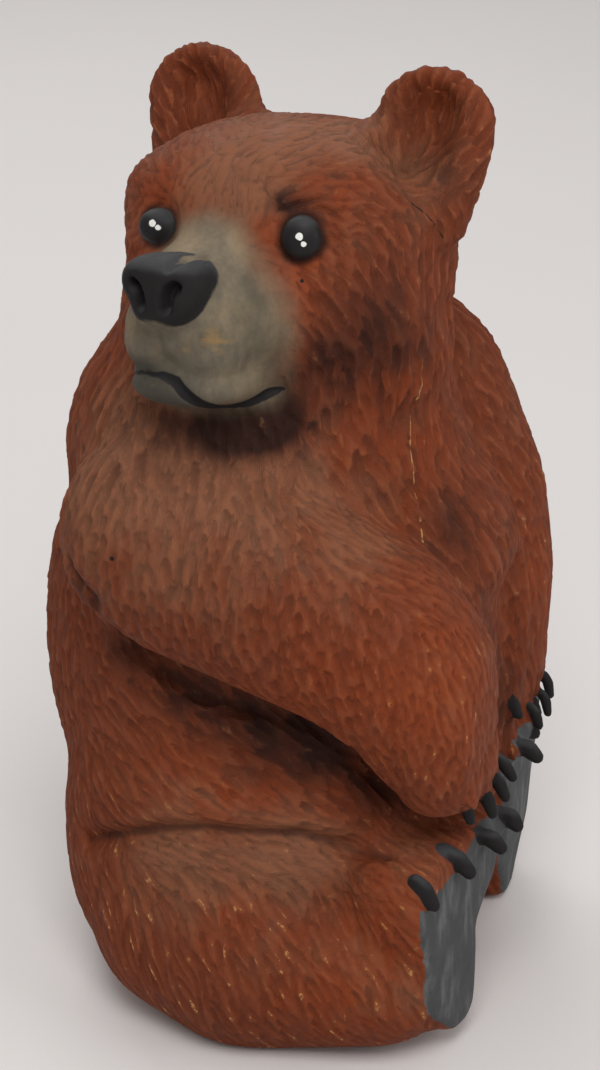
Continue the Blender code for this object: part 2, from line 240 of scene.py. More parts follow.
HEAD_FUR = (
    Tuft((0.020, -0.127, 0.067), (-0.25, 0.35, 0.90), Mark.FAINT),
    Tuft((0.087, -0.067, 0.106), (0.40, 0.89, 0.22), Mark.FINE),
    Tuft((0.026, -0.067, 0.118), (0.70, 0.60, 0.12), Mark.FAINT),
    Tuft((0.085, -0.100, 0.091), (0.73, 0.62, 0.27), Mark.FINE),
    Tuft((0.114, -0.102, 0.070), (0.67, 0.63, 0.30), Mark.FINE),
    Tuft((0.111, -0.111, 0.035), (0.79, 0.37, -0.49), Mark.FINE),
    Tuft((0.154, -0.052, 0.008), (0.18, 0.30, -0.93), Mark.LEAF),
    Tuft((0.150, -0.040, 0.060), (0.40, 0.75, -0.50), Mark.LEAF),
    Tuft((0.119, -0.108, -0.049), (0.44, 0.43, -0.79), Mark.LEAF),
    Tuft((0.085, -0.135, -0.058), (0.18, 0.54, -0.82), Mark.FAINT),
    Tuft((0.160, 0.003, -0.012), (-0.01, -0.12, -0.99), Mark.BROAD),
    Tuft((0.173, 0.018, 0.031), (-0.10, 0.28, -0.96), Mark.LEAF),
    Tuft((0.127, -0.072, -0.122), (-0.06, 0.34, -0.94), Mark.LEAF),
    Tuft((0.160, -0.010, -0.096), (-0.03, 0.35, -0.93), Mark.BROAD),
    Tuft((0.010, -0.140, -0.160), (0.10, 0.20, -0.97), Mark.LEAF),
    Tuft((0.167, 0.020, 0.084), (0.54, 0.33, 0.77), Mark.RAY),
    Tuft((0.182, 0.028, 0.094), (0.75, 0.30, 0.50), Mark.RAY),
    Tuft((0.129, 0.037, 0.141), (0.00, 0.10, 0.99), Mark.RAY),
    Tuft((0.155, 0.037, 0.150), (0.45, 0.10, 0.85), Mark.RAY),
    Tuft((0.100, 0.031, 0.135), (-0.50, 0.24, 0.80), Mark.RAY),
    Tuft((0.135, 0.080, 0.130), (0.20, 0.00, 0.95), Mark.RAY),
    Tuft((0.050, 0.060, 0.120), (0.30, 0.90, 0.00), Mark.FINE),
    Tuft((0.060, 0.140, 0.060), (0.10, 0.30, -0.95), Mark.LEAF),
    Tuft((0.060, 0.150, -0.060), (0.00, 0.05, -1.00), Mark.BROAD),
    Tuft((0.140, 0.090, -0.040), (0.00, 0.05, -1.00), Mark.BROAD),
)


class Skin:
    """A closed mesh under the tools: its vertices as arrays, and what is done to all of it."""

    def __init__(self, name: str, mesh: bpy.types.Mesh) -> None:
        """Takes a mesh and links it under the name."""
        self.made = bpy.data.objects.new(name, mesh)
        bpy.context.scene.collection.objects.link(self.made)

    def spots(self) -> np.ndarray:
        """Reads the vertices.

        Returns:
            The place of every vertex in metres, one row each.
        """
        found = np.empty(len(self.made.data.vertices) * 3)
        self.made.data.vertices.foreach_get("co", found)
        return found.reshape(-1, 3)

    def normals(self) -> np.ndarray:
        """Reads the vertices' normals.

        Returns:
            The outward way at every vertex, one row each.
        """
        found = np.empty(len(self.made.data.vertices) * 3)
        self.made.data.vertices.foreach_get("normal", found)
        return found.reshape(-1, 3)

    def move(self, spots: np.ndarray) -> None:
        """Puts every vertex at its new place."""
        self.made.data.vertices.foreach_set("co", spots.ravel())
        self.made.data.update()

    def note(self, name: str, values: np.ndarray) -> None:
        """Keeps one number for each vertex under a name that the paint reads."""
        kept = self.made.data.attributes.new(name, "FLOAT", "POINT")
        kept.data.foreach_set("value", np.asarray(values, dtype=np.float32))

    def tree(self) -> BVHTree:
        """Sorts the faces as they are now.

        Returns:
            The tree that finds the nearest place on them.
        """
        form = bmesh.new()
        form.from_mesh(self.made.data)
        found = BVHTree.FromBMesh(form)
        form.free()
        return found

    def settle(self) -> None:
        """Replaces the mesh by what its modifiers make of it."""
        graph = bpy.context.evaluated_depsgraph_get()
        mesh = bpy.data.meshes.new_from_object(self.made.evaluated_get(graph))
        self.made.modifiers.clear()
        old = self.made.data
        self.made.data = mesh
        bpy.data.meshes.remove(old)

    def fuse(self, cell: float, rounds: int = 0) -> None:
        """Fuses all closed forms into one skin.

        Args:
            cell: the size of the skin's squares, in metres.
            rounds: how often it is softened.
        """
        fused = self.made.modifiers.new("fuse", "REMESH")
        fused.mode = "VOXEL"
        fused.voxel_size = cell
        if rounds:
            softened = self.made.modifiers.new("soften", "SMOOTH")
            softened.factor = 0.5
            softened.iterations = rounds
        self.settle()

    def thin(self, faces: int) -> None:
        """Keeps only some triangles, most of them on the ridges.

        Args:
            faces: how many triangles are kept.
        """
        thinned = self.made.modifiers.new("thin", "DECIMATE")
        thinned.ratio = faces / (2.0 * len(self.made.data.polygons))
        self.settle()

    def links(self) -> np.ndarray:
        """Reads the edges.

        Returns:
            The numbers of the two vertices of every edge.
        """
        found = np.empty(len(self.made.data.edges) * 2, dtype=np.int64)
        self.made.data.edges.foreach_get("vertices", found)
        return found.reshape(-1, 2)

    def averaged(
        self, values: np.ndarray, rounds: int, pull: float = 0.5, push: float = 0.0,
    ) -> np.ndarray:
        """Evens values out over the skin.

        Args:
            values: one row for each vertex.
            rounds: how often each value moves towards its neighbours'.
            pull: the share of the way that it moves.
            push: the share that it moves back, which keeps large forms from shrinking.

        Returns:
            The evened rows.
        """
        links = self.links()
        count = len(values)
        near = np.bincount(links.ravel(), minlength=count).astype(float)
        near[near == 0.0] = 1.0
        rows = values.reshape(count, -1).astype(float)
        for turn in range(rounds * (2 if push else 1)):
            share = -push if push and turn % 2 else pull
            moved = np.empty_like(rows)
            for column in range(rows.shape[1]):
                line = rows[:, column]
                total = np.bincount(links[:, 0], weights=line[links[:, 1]], minlength=count)
                total += np.bincount(links[:, 1], weights=line[links[:, 0]], minlength=count)
                moved[:, column] = line + share * (total / near - line)
            rows = moved
        return rows.reshape(values.shape)

    def press(self, line: Line, groove: Groove, way: Vector | None = None) -> None:
        """Presses a rounded groove along a line.

        Args:
            line: the corners of its middle line, on the skin.
            groove: its width and depth.
            way: the way that the tool goes in, if it isn't straight into the skin.
        """
        width, depth = groove.width * HEIGHT, groove.depth * HEIGHT
        spots = self.spots()
        corners = np.array(line)
        low, high = corners.min(axis=0) - width, corners.max(axis=0) + width
        close = np.flatnonzero(np.all((spots > low) & (spots < high), axis=1))
        near = np.clip(1.0 - gaps(spots[close], line) / width, 0.0, 1.0)
        amount = depth * near * near * (3.0 - 2.0 * near)
        inward = -self.normals()[close] if way is None else np.array(way.normalized())[None, :]
        spots[close] += inward * amount[:, None]
        self.move(spots)


class Forms:
    """Closed forms that are added to the skin before it is fused."""

    def __init__(self, frame_of: Matrix | None = None) -> None:
        """Starts with none.

        Args:
            frame_of: what takes the coordinates of the forms to the bear's own, if they differ.
        """
        self.frame = frame_of or Matrix.Identity(4)
        form = bmesh.new()
        bmesh.ops.create_icosphere(form, subdivisions=4, radius=1.0)
        self.round = np.array([vert.co.normalized() for vert in form.verts])
        self.faces = np.array([[vert.index for vert in face.verts] for face in form.faces])
        form.free()
        self.parts: list[np.ndarray] = []

    def ball(self, place: Share, size: Share, square: float = 2.0, taper: float = 0.0,
             facing: Vector | None = None) -> None:
        """Adds a ball stretched to three half-sizes.

        Args:
            place: its middle, as shares.
            size: its half-sizes, as shares.
            square: above 2 makes it boxier.
            taper: how fast it narrows from just over its middle down to its foot.
            facing: which way its front looks, in its own coordinates, if not along -y.
        """
        reach = (np.abs(self.round) ** square).sum(axis=1) ** (1.0 / square)
        local = self.round / reach[:, None]
        local[:, 0] *= narrowed(local[:, 2], taper)
        local *= np.array(at(size))
        if facing is not None:
            local = local @ np.array(facing.to_track_quat("-Y", "Z").to_matrix()).T
        whole = np.array(self.frame)
        self.parts.append((local + np.array(at(place))) @ whole[:3, :3].T + whole[:3, 3])

    def string(self, stations: list[tuple[Vector, float]], steps: int = 4) -> None:
        """Adds balls closely strung through stations.

        Args:
            stations: places in metres, each with its half-size.
            steps: balls from one station to the next.
        """
        for here, there in zip(stations, stations[1:]):
            for step in range(steps + 1):
                share = step / steps
                place = here[0].lerp(there[0], share)
                girth = here[1] + (there[1] - here[1]) * share
                self.parts.append(self.round * girth + np.array(place))

    def join(self, skin: Skin) -> None:
        """Puts the forms into the skin's mesh.

        Args:
            skin: what they are added to.
        """
        spots = np.concatenate(self.parts)
        faces = np.concatenate([self.faces + len(self.round) * turn for turn in range(len(self.parts))])
        mesh = bpy.data.meshes.new("forms")
        mesh.from_pydata(spots.tolist(), [], faces.tolist())
        form = bmesh.new()
        form.from_mesh(skin.made.data)
        form.from_mesh(mesh)
        form.to_mesh(skin.made.data)
        form.free()
        bpy.data.meshes.remove(mesh)


@dataclass(frozen=True)
class HeadPose:
    """Where the head sits and how it is turned, lifted and tilted."""

    place: Share = (-0.006, 0.010, 0.812)
    turn: float = -104.0
    lift: float = -9.0
    tilt: float = -5.0

    def matrix(self) -> Matrix:
        """Works the pose out.

        Returns:
            What takes head coordinates to the bear's own.
        """
        turned = Matrix.Rotation(radians(self.turn), 4, "Z")
        lifted = Matrix.Rotation(radians(self.lift), 4, "X")
        tilted = Matrix.Rotation(radians(self.tilt), 4, "Y")
        return Matrix.Translation(at(self.place)) @ turned @ lifted @ tilted

    def seen(self, spots: np.ndarray) -> np.ndarray:
        """The bear's coordinates as head coordinates, in shares."""
        inverse = np.array(self.matrix().inverted())
        return (spots @ inverse[:3, :3].T + inverse[:3, 3]) / HEIGHT


@dataclass(frozen=True)
class Eye:
    """One eye: a flattened ball in a shallow socket, as shares in head coordinates.

    Each of its white dots has how far right and up of the middle it is seen, and its half-size,
    in mm. The black paint is laid in its plane and keeps to the front of the head.
    """

    across: float
    height: float
    half: Share
    facing: Share
    glints: tuple[Share, ...]
    sunk: float = 0.0060
    socket: float = 0.0068
    rim: float = 0.0030
    corners: int = 24
    plane: float = -0.134
    front: float = -0.05
    thick: float = 0.06

    def middle(self, face: "Face", tree: BVHTree) -> Share:
        """The middle of the ball, in head coordinates as shares."""
        spot = face.pose.matrix().inverted() @ face.on_face(tree, self.across, self.height)
        return tuple(spot / HEIGHT - Vector(self.facing).normalized() * self.sunk)

    def ring(self, face: "Face", tree: BVHTree) -> Line:
        """A closed line round the eye, just outside the ball.

        Args:
            face: the face that it is in.
            tree: the skin.

        Returns:
            The line's corners, on the skin.
        """
        found = []
        for step in range(self.corners + 1):
            turn = 2.0 * pi * step / self.corners
            across = self.across + (self.half[0] + self.rim) * cos(turn)
            height = self.height + (self.half[2] + self.rim) * sin(turn)
            found.append(face.on_face(tree, across, height))
        return found

    def ink(self, head: np.ndarray) -> np.ndarray:
        """How far each spot is outside the black of the eye.

        Args:
            head: places in head coordinates, as shares.

        Returns:
            One distance in mm for each, below zero inside.
        """
        out = Vector(self.facing).to_track_quat("-Y", "Z").to_matrix()
        local = (head - np.array((self.across, self.plane, self.height))) @ np.array(out)
        oval = np.hypot(local[:, 0] / self.half[0], local[:, 2] / self.half[2]) - 1.0
        near = (head[:, 1] < self.front) & (np.abs(local[:, 1]) < self.thick)
        return np.where(near, oval * self.half[0] * HEIGHT / MM, FAR)


@dataclass(frozen=True)
class Face:
    """Eyes, nose, mouth and ears, in head coordinates as shares.

    A band gives the half-width of the black paint in mm: its first row says where along the
    line, its second how wide.
    """

    pose: HeadPose = HeadPose()
    cell: float = 0.0014
    rounds: int = 5
    right_eye: Eye = Eye(
        -0.0660, 0.0290, (0.0196, 0.0132, 0.0174), (0.30, -1.0, 0.15), ((-1.9, 0.9, 1.60), (0.7, -1.2, 1.25)),
    )
    left_eye: Eye = Eye(
        0.0945, 0.0315, (0.0196, 0.0120, 0.0208), (0.36, -1.0, 0.14), ((0.5, 0.4, 1.65), (2.4, -3.0, 1.20)),
    )
    glint_plane: float = -0.136
    socket_width: float = 0.011
    socket_share: float = 0.55
    lid_width: float = 0.009
    lid_share: float = 0.45
    lid_lift: float = 0.004
    lid_from: int = 3
    lid_to: int = 12
    nose_place: Share = (-0.0080, -0.1985, -0.0180)
    nose_size: Share = (0.0425, 0.0345, 0.0330)
    nose_square: float = 2.7
    nose_taper: float = 0.16
    nose_border: float = 1.08
    nose_furrow: tuple[float, float] = (-0.010, -0.036)
    nose_furrow_groove: Groove = Groove(0.0060, 0.0030)
    nostril_gap: float = 0.0150
    nostril_height: float = -0.0200
    nostril_bow: tuple[tuple[float, float], ...] = (
        (-0.0010, -0.0120), (0.0000, -0.0020), (0.0030, 0.0050), (0.0085, 0.0085),
    )
    nostril_groove: Groove = Groove(0.0092, 0.0200)
    nostril_lift: float = 0.15
    jaw_place: Share = (-0.011, -0.140, -0.1130)
    jaw_size: Share = (0.066, 0.065, 0.0270)
    jaw_square: float = 2.4
    lip_places: tuple[Share, ...] = ((-0.038, -0.168, -0.072), (0.018, -0.166, -0.076))
    lip_size: Share = (0.036, 0.040, 0.036)
    mouth: tuple[Share, ...] = (
        (-0.088, -0.128, -0.124), (-0.076, -0.160, -0.117), (-0.063, -0.188, -0.107),
        (-0.047, -0.200, -0.103), (-0.031, -0.206, -0.101), (-0.016, -0.208, -0.101),
        (-0.001, -0.203, -0.107), (0.013, -0.195, -0.120), (0.027, -0.175, -0.129),
        (0.040, -0.150, -0.131), (0.052, -0.130, -0.127), (0.066, -0.116, -0.122),
    )
    mouth_groove: Groove = Groove(0.0068, 0.0120)
    mouth_lift: float = 0.25
    mouth_depths: tuple[float, ...] = (0.0, 1.8, 3.6, 5.4)
    mouth_band: tuple[tuple[float, ...], tuple[float, ...]] = (
        (-0.088, -0.050, -0.020, 0.000, 0.015, 0.032, 0.048, 0.060, 0.068),
        (0.60, 0.80, 1.20, 2.30, 3.40, 4.30, 3.40, 1.60, 0.60),
    )
    philtrum: tuple[Share, ...] = (
        (-0.014, -0.220, -0.056), (-0.016, -0.215, -0.066), (-0.018, -0.210, -0.095),
    )
    philtrum_groove: Groove = Groove(0.0065, 0.0050)
    wedge: tuple[Share, ...] = (
        (0.008, -0.224, 0.008), (0.012, -0.212, 0.013), (0.012, -0.192, 0.015), (0.014, -0.172, 0.014),
    )
    wedge_groove: Groove = Groove(0.0075, 0.0060)
    wedge_band: tuple[tuple[float, ...], tuple[float, ...]] = ((-0.222, -0.205, -0.180), (1.2, 2.7, 3.8))
    furrow: tuple[Share, ...] = (
        (0.048, -0.126, 0.070), (0.059, -0.126, 0.063), (0.067, -0.127, 0.051), (0.075, -0.128, 0.048),
    )
    furrow_groove: Groove = Groove(0.0060, 0.0040)
    right_ear: tuple[float, float] = (-0.135, 0.130)
    left_ear: tuple[float, float] = (0.136, 0.121)
    ear_lean: float = 0.006
    ear_step: float = 0.012
    ear_groove: Groove = Groove(0.048, 0.020)

    def ahead(self) -> Vector:
        """The way that the face looks."""
        return self.pose.matrix().to_3x3() @ Vector((0.0, -1.0, 0.0))

    def up(self) -> Vector:
        """The way to the top of the head."""
        return self.pose.matrix().to_3x3() @ Vector((0.0, 0.0, 1.0))

    def on_face(self, tree: BVHTree, across: float, height: float) -> Vector:
        """The front of the head at a place across and up."""
        start = self.pose.matrix() @ at((across, 0.0, height))
        return tree.ray_cast(start + self.ahead() * HEIGHT, -self.ahead())[0]

    def snapped(self, tree: BVHTree, line: tuple[Share, ...]) -> Line:
        """A line in head coordinates, laid on the skin."""
        return [tree.find_nearest(self.pose.matrix() @ at(place))[0] for place in line]

    def jaw(self, skin: Skin) -> None:
        """Adds the lower jaw and the two upper lips.

        Args:
            skin: the head before it has a face.
        """
        forms = Forms(self.pose.matrix())
        forms.ball(self.jaw_place, self.jaw_size, square=self.jaw_square)
        for place in self.lip_places:
            forms.ball(place, self.lip_size)
        forms.join(skin)
        skin.fuse(self.cell, self.rounds)

    def ears(self, skin: Skin, tree: BVHTree) -> None:
        """Hollows the fronts of the ears.

        Args:
            skin: the head with its jaw.
            tree: the same, before anything is pressed.
        """
        for side, (across, height) in ((-1, self.right_ear), (1, self.left_ear)):
            inner = [
                self.on_face(tree, across - side * self.ear_lean * drop, height + self.ear_step * (1 - drop))
                for drop in range(3)
            ]
            skin.press(inner, self.ear_groove)

    def sockets(self, skin: Skin, rings: list[Line]) -> None:
        """Sinks the skin round the eyes, and more under the upper lids.

        Args:
            skin: the head with its jaw.
            rings: the line round each eye.
        """
        for eye, ring in zip((self.right_eye, self.left_eye), rings):
            skin.press(ring, Groove(self.socket_width, eye.socket * self.socket_share))
            upper = [spot + self.up() * self.lid_lift * HEIGHT for spot in ring[self.lid_from:self.lid_to]]
            skin.press(upper, Groove(self.lid_width, eye.socket * self.lid_share))

    def shape(self, skin: Skin) -> dict[str, Line]:
        """Adds jaw, lips, nose and eyes, and cuts the ears, the sockets and the mouth.

        Args:
            skin: the head before it has a face.

        Returns:
            The mouth's line on the skin and ever deeper, which the black paint follows.
        """
        self.jaw(skin)
        tree = skin.tree()
        eyes = (self.right_eye, self.left_eye)
        middles = [eye.middle(self, tree) for eye in eyes]
        rings = [eye.ring(self, tree) for eye in eyes]
        mouth = self.snapped(tree, self.mouth)
        philtrum = self.snapped(tree, self.philtrum)
        self.ears(skin, tree)
        self.sockets(skin, rings)
        skin.press(self.snapped(tree, self.furrow), self.furrow_groove)
        inward = self.up() * self.mouth_lift - self.ahead()
        skin.press(mouth, self.mouth_groove, inward)
        skin.press(philtrum, self.philtrum_groove)
        forms = Forms(self.pose.matrix())
        forms.ball(self.nose_place, self.nose_size, square=self.nose_square, taper=self.nose_taper)
        for middle, eye in zip(middles, eyes):
            forms.ball(middle, eye.half, facing=Vector(eye.facing))
        forms.join(skin)
        ways = [inward.normalized() * depth * MM for depth in self.mouth_depths]
        return {f"mouth {turn}": [spot + way for spot in mouth] for turn, way in enumerate(ways)}

    def nostrils(self, skin: Skin) -> None:
        """Bores the comma-shaped nostrils and cuts the wedge and the furrow of the nose.

        Args:
            skin: the form with its nose.
        """
        tree = skin.tree()
        middle = self.nose_place[0]
        for side in (-1, 1):
            line = [
                self.on_face(tree, middle + side * (self.nostril_gap + out), self.nostril_height + rise)
                for out, rise in self.nostril_bow
            ]
            skin.press(line, self.nostril_groove, self.up() * self.nostril_lift - self.ahead())
        furrow = [self.on_face(tree, middle, height) for height in self.nose_furrow]
        skin.press(furrow, self.nose_furrow_groove)
        skin.press(self.snapped(tree, self.wedge), self.wedge_groove, -self.up())

    def glints(self, tree: BVHTree, back: Vector) -> list[tuple[Vector, float]]:
        """Lays the white dots on the eyes.

        Args:
            tree: the finished skin.
            back: the way from the bear to where the dots are looked at from.

        Returns:
            Their places, each with its half-size in mm.
        """
        found = []
        aside = Vector((0.0, 0.0, 1.0)).cross(back).normalized()
        for eye in (self.left_eye, self.right_eye):
            middle = self.pose.matrix() @ at((eye.across, self.glint_plane, eye.height))
            for right, up, half in eye.glints:
                spot = middle + (aside * right + back.cross(aside) * up) * MM
                found.append((tree.ray_cast(spot + back * HEIGHT, -back)[0], half))
        return found

    def nose_ink(self, head: np.ndarray) -> np.ndarray:
        """How far each spot is outside the black of the nose.

        Args:
            head: places in head coordinates, as shares.

        Returns:
            One distance in mm for each, below zero inside the black, which leaves out the wedge.
        """
        local = (head - np.array(self.nose_place)) / np.array(self.nose_size)
        local[:, 0] /= narrowed(local[:, 2], self.nose_taper)
        reach = (np.abs(local) ** self.nose_square).sum(axis=1) ** (1.0 / self.nose_square)
        found = (reach - self.nose_border) * self.nose_size[2] * HEIGHT / MM
        wedge = gaps(head, [Vector(place) for place in self.wedge]) * HEIGHT / MM
        return np.maximum(found, np.interp(head[:, 1], *self.wedge_band) - wedge)

    def ink(self, spots: np.ndarray, lines: dict[str, Line]) -> np.ndarray:
        """How far each spot is outside what is painted black on the face.

        Args:
            spots: places in metres.
            lines: the carving's lines, with what shape() returned among them.

        Returns:
            One distance in mm for each spot, below zero inside the paint.
        """
        head = self.pose.seen(spots)
        found = self.nose_ink(head)
        for eye in (self.right_eye, self.left_eye):
            found = np.minimum(found, eye.ink(head))
        mouth = np.min([gaps(spots, line) for line in named(lines, "mouth")], axis=0) / MM
        return np.minimum(found, mouth - np.interp(head[:, 0], *self.mouth_band))


@dataclass(frozen=True)
class Claw:
    """One claw: where it grows, where it ends and its half-width, as shares."""

    root: Share
    tip: Share
    girth: float
    arch: Share = (0.0, -0.10, 0.30)
    shares: Share = (0.80, 1.0, 0.78)

    def stations(self) -> list[tuple[Vector, float]]:
        """Follows the claw.

        Returns:
            The root, a raised middle and the blunt tip in metres, each with its half-size.
        """
        start, end = Vector(self.root), Vector(self.tip)
        middle = (start + end) / 2.0 + Vector(self.arch) * self.girth
        return [(place * HEIGHT, self.girth * share * HEIGHT)
                for place, share in zip((start, middle, end), self.shares)]


@dataclass(frozen=True)
class PackedClaws:
    """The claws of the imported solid, which are taller and thicker than the real ones.

    The feet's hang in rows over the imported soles, the hands' in rows on the fronts of the hands.
    The hands are given by their middle and their half-sizes.
    """

    turn: float = 13.0
    middle: float = 0.150
    row: float = 0.153
    reaches: tuple[float, float] = (0.211, 0.196)
    leans: tuple[float, float] = (0.0, 2.5)
    leaning: float = 0.254
    root_height: float = 0.250
    gap: float = 0.055
    way: Share = (0.20, -0.50, -0.84)
    length: float = 0.044
    hands: tuple[tuple[Share, Share], ...] = (
        ((-0.154, -0.198, 0.365), (0.088, 0.066, 0.068)),
        ((0.156, -0.170, 0.288), (0.074, 0.064, 0.056)),
    )
    hand_shift: float = 0.018
    hand_gap: float = 0.038
    hand_front: float = 0.72
    hand_bow: float = 0.006
    hand_drop: float = 0.45
    hand_way: Share = (0.0, -0.40, -0.92)
    hand_length: float = 0.033

    def feet(self) -> list[Line]:
        """Follows the claws of both feet.

        Returns:
            The middle line of each.
        """
        found = []
        for side, reach, lean in zip((-1, 1), self.reaches, self.leans):
            for toe in (-1.5, -0.5, 0.5, 1.5):
                across = self.row + self.gap * toe
                front = (across - self.middle) * tan(radians(self.turn)) - reach
                root = Vector((side * across, front - self.leaning * sin(radians(lean)), self.root_height))
                way = Vector(mirrored(self.way, -side)).normalized()
                found.append([at(root), at(root + way * self.length)])
        return found

    def fingers(self) -> list[Line]:
        """Follows the claws of both hands.

        Returns:
            The middle line of each.
        """
        found = []
        way = Vector(self.hand_way).normalized()
        for side, ((across, front, height), size) in zip((-1, 1), self.hands):
            for finger in (-1.5, -0.5, 0.5, 1.5):
                root = Vector((
                    across + side * (self.hand_gap * finger - self.hand_shift),
                    front - size[1] * self.hand_front + abs(finger) * self.hand_bow,
                    height - size[2] * self.hand_drop,
                ))
                found.append([at(root), at(root + way * self.hand_length)])
        return found


@dataclass(frozen=True)
class Claws:
    """The claws of both feet and both hands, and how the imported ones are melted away.

    They go in fours: right foot, left foot, right hand, left hand.
    """

    claws: tuple[Claw, ...] = (
        Claw((-0.2350, -0.1970, 0.2440), (-0.2340, -0.2170, 0.2170), 0.0086),
        Claw((-0.1800, -0.2110, 0.2480), (-0.1780, -0.2380, 0.2270), 0.0100),
        Claw((-0.1240, -0.2350, 0.2400), (-0.1220, -0.2560, 0.2270), 0.0098),
        Claw((-0.0690, -0.2440, 0.2360), (-0.0680, -0.2600, 0.2230), 0.0098),
        Claw((0.0735, -0.2239, 0.2378), (0.0735, -0.2466, 0.2270), 0.0102),
        Claw((0.1265, -0.2120, 0.2400), (0.1260, -0.2310, 0.2260), 0.0096),
        Claw((0.1800, -0.2040, 0.2400), (0.1790, -0.2200, 0.2230), 0.0092),
        Claw((0.2310, -0.1900, 0.2320), (0.2290, -0.2060, 0.2140), 0.0088),
        Claw((-0.0780, -0.2360, 0.3080), (-0.0750, -0.2550, 0.2840), 0.0076),
        Claw((-0.1080, -0.2400, 0.3030), (-0.1080, -0.2560, 0.2790), 0.0078),
        Claw((-0.1420, -0.2380, 0.3040), (-0.1420, -0.2510, 0.2780), 0.0080),
        Claw((-0.1760, -0.2270, 0.3085), (-0.1760, -0.2370, 0.2860), 0.0075),
        Claw((0.0600, -0.2080, 0.3120), (0.0620, -0.2280, 0.2810), 0.0070),
        Claw((0.1150, -0.2290, 0.2640), (0.1150, -0.2390, 0.2420), 0.0066),
        Claw((0.1500, -0.2330, 0.2640), (0.1500, -0.2400, 0.2400), 0.0066),
        Claw((0.1850, -0.2270, 0.2680), (0.1850, -0.2340, 0.2440), 0.0066),
    )
    packed: PackedClaws = PackedClaws()
    melt: tuple[float, float] = (0.026, 0.014)
    melt_turns: int = 4
    melt_rounds: int = 12
    border: float = 1.04
    steps: int = 5

    def melted(self, skin: Skin) -> None:
        """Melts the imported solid's claws into feet and hands.

        Args:
            skin: the rounded form.
        """
        spots = skin.spots()
        near = np.full(len(spots), np.inf)
        for line in self.packed.feet() + self.packed.fingers():
            near = np.minimum(near, gaps(spots, line))
        share = stepped(*self.melt, near / HEIGHT)[:, None]
        for _ in range(self.melt_turns):
            spots += share * (skin.averaged(spots, self.melt_rounds) - spots)
        skin.move(spots)

    def shape(self, skin: Skin) -> None:
        """Adds every claw.

        Args:
            skin: what they are added to.
        """
        forms = Forms()
        for claw in self.claws:
            forms.string(claw.stations(), steps=self.steps)
        forms.join(skin)

    def ink(self, spots: np.ndarray) -> np.ndarray:
        """How far each spot is outside the claws' black paint.

        Args:
            spots: places in metres.

        Returns:
            One distance in mm for each spot, below zero inside the paint.
        """
        found = np.full(len(spots), FAR)
        for claw in self.claws:
            near = gaps(spots, [place for place, _ in claw.stations()]) - claw.girth * self.border * HEIGHT
            found = np.minimum(found, near / MM)
        return found


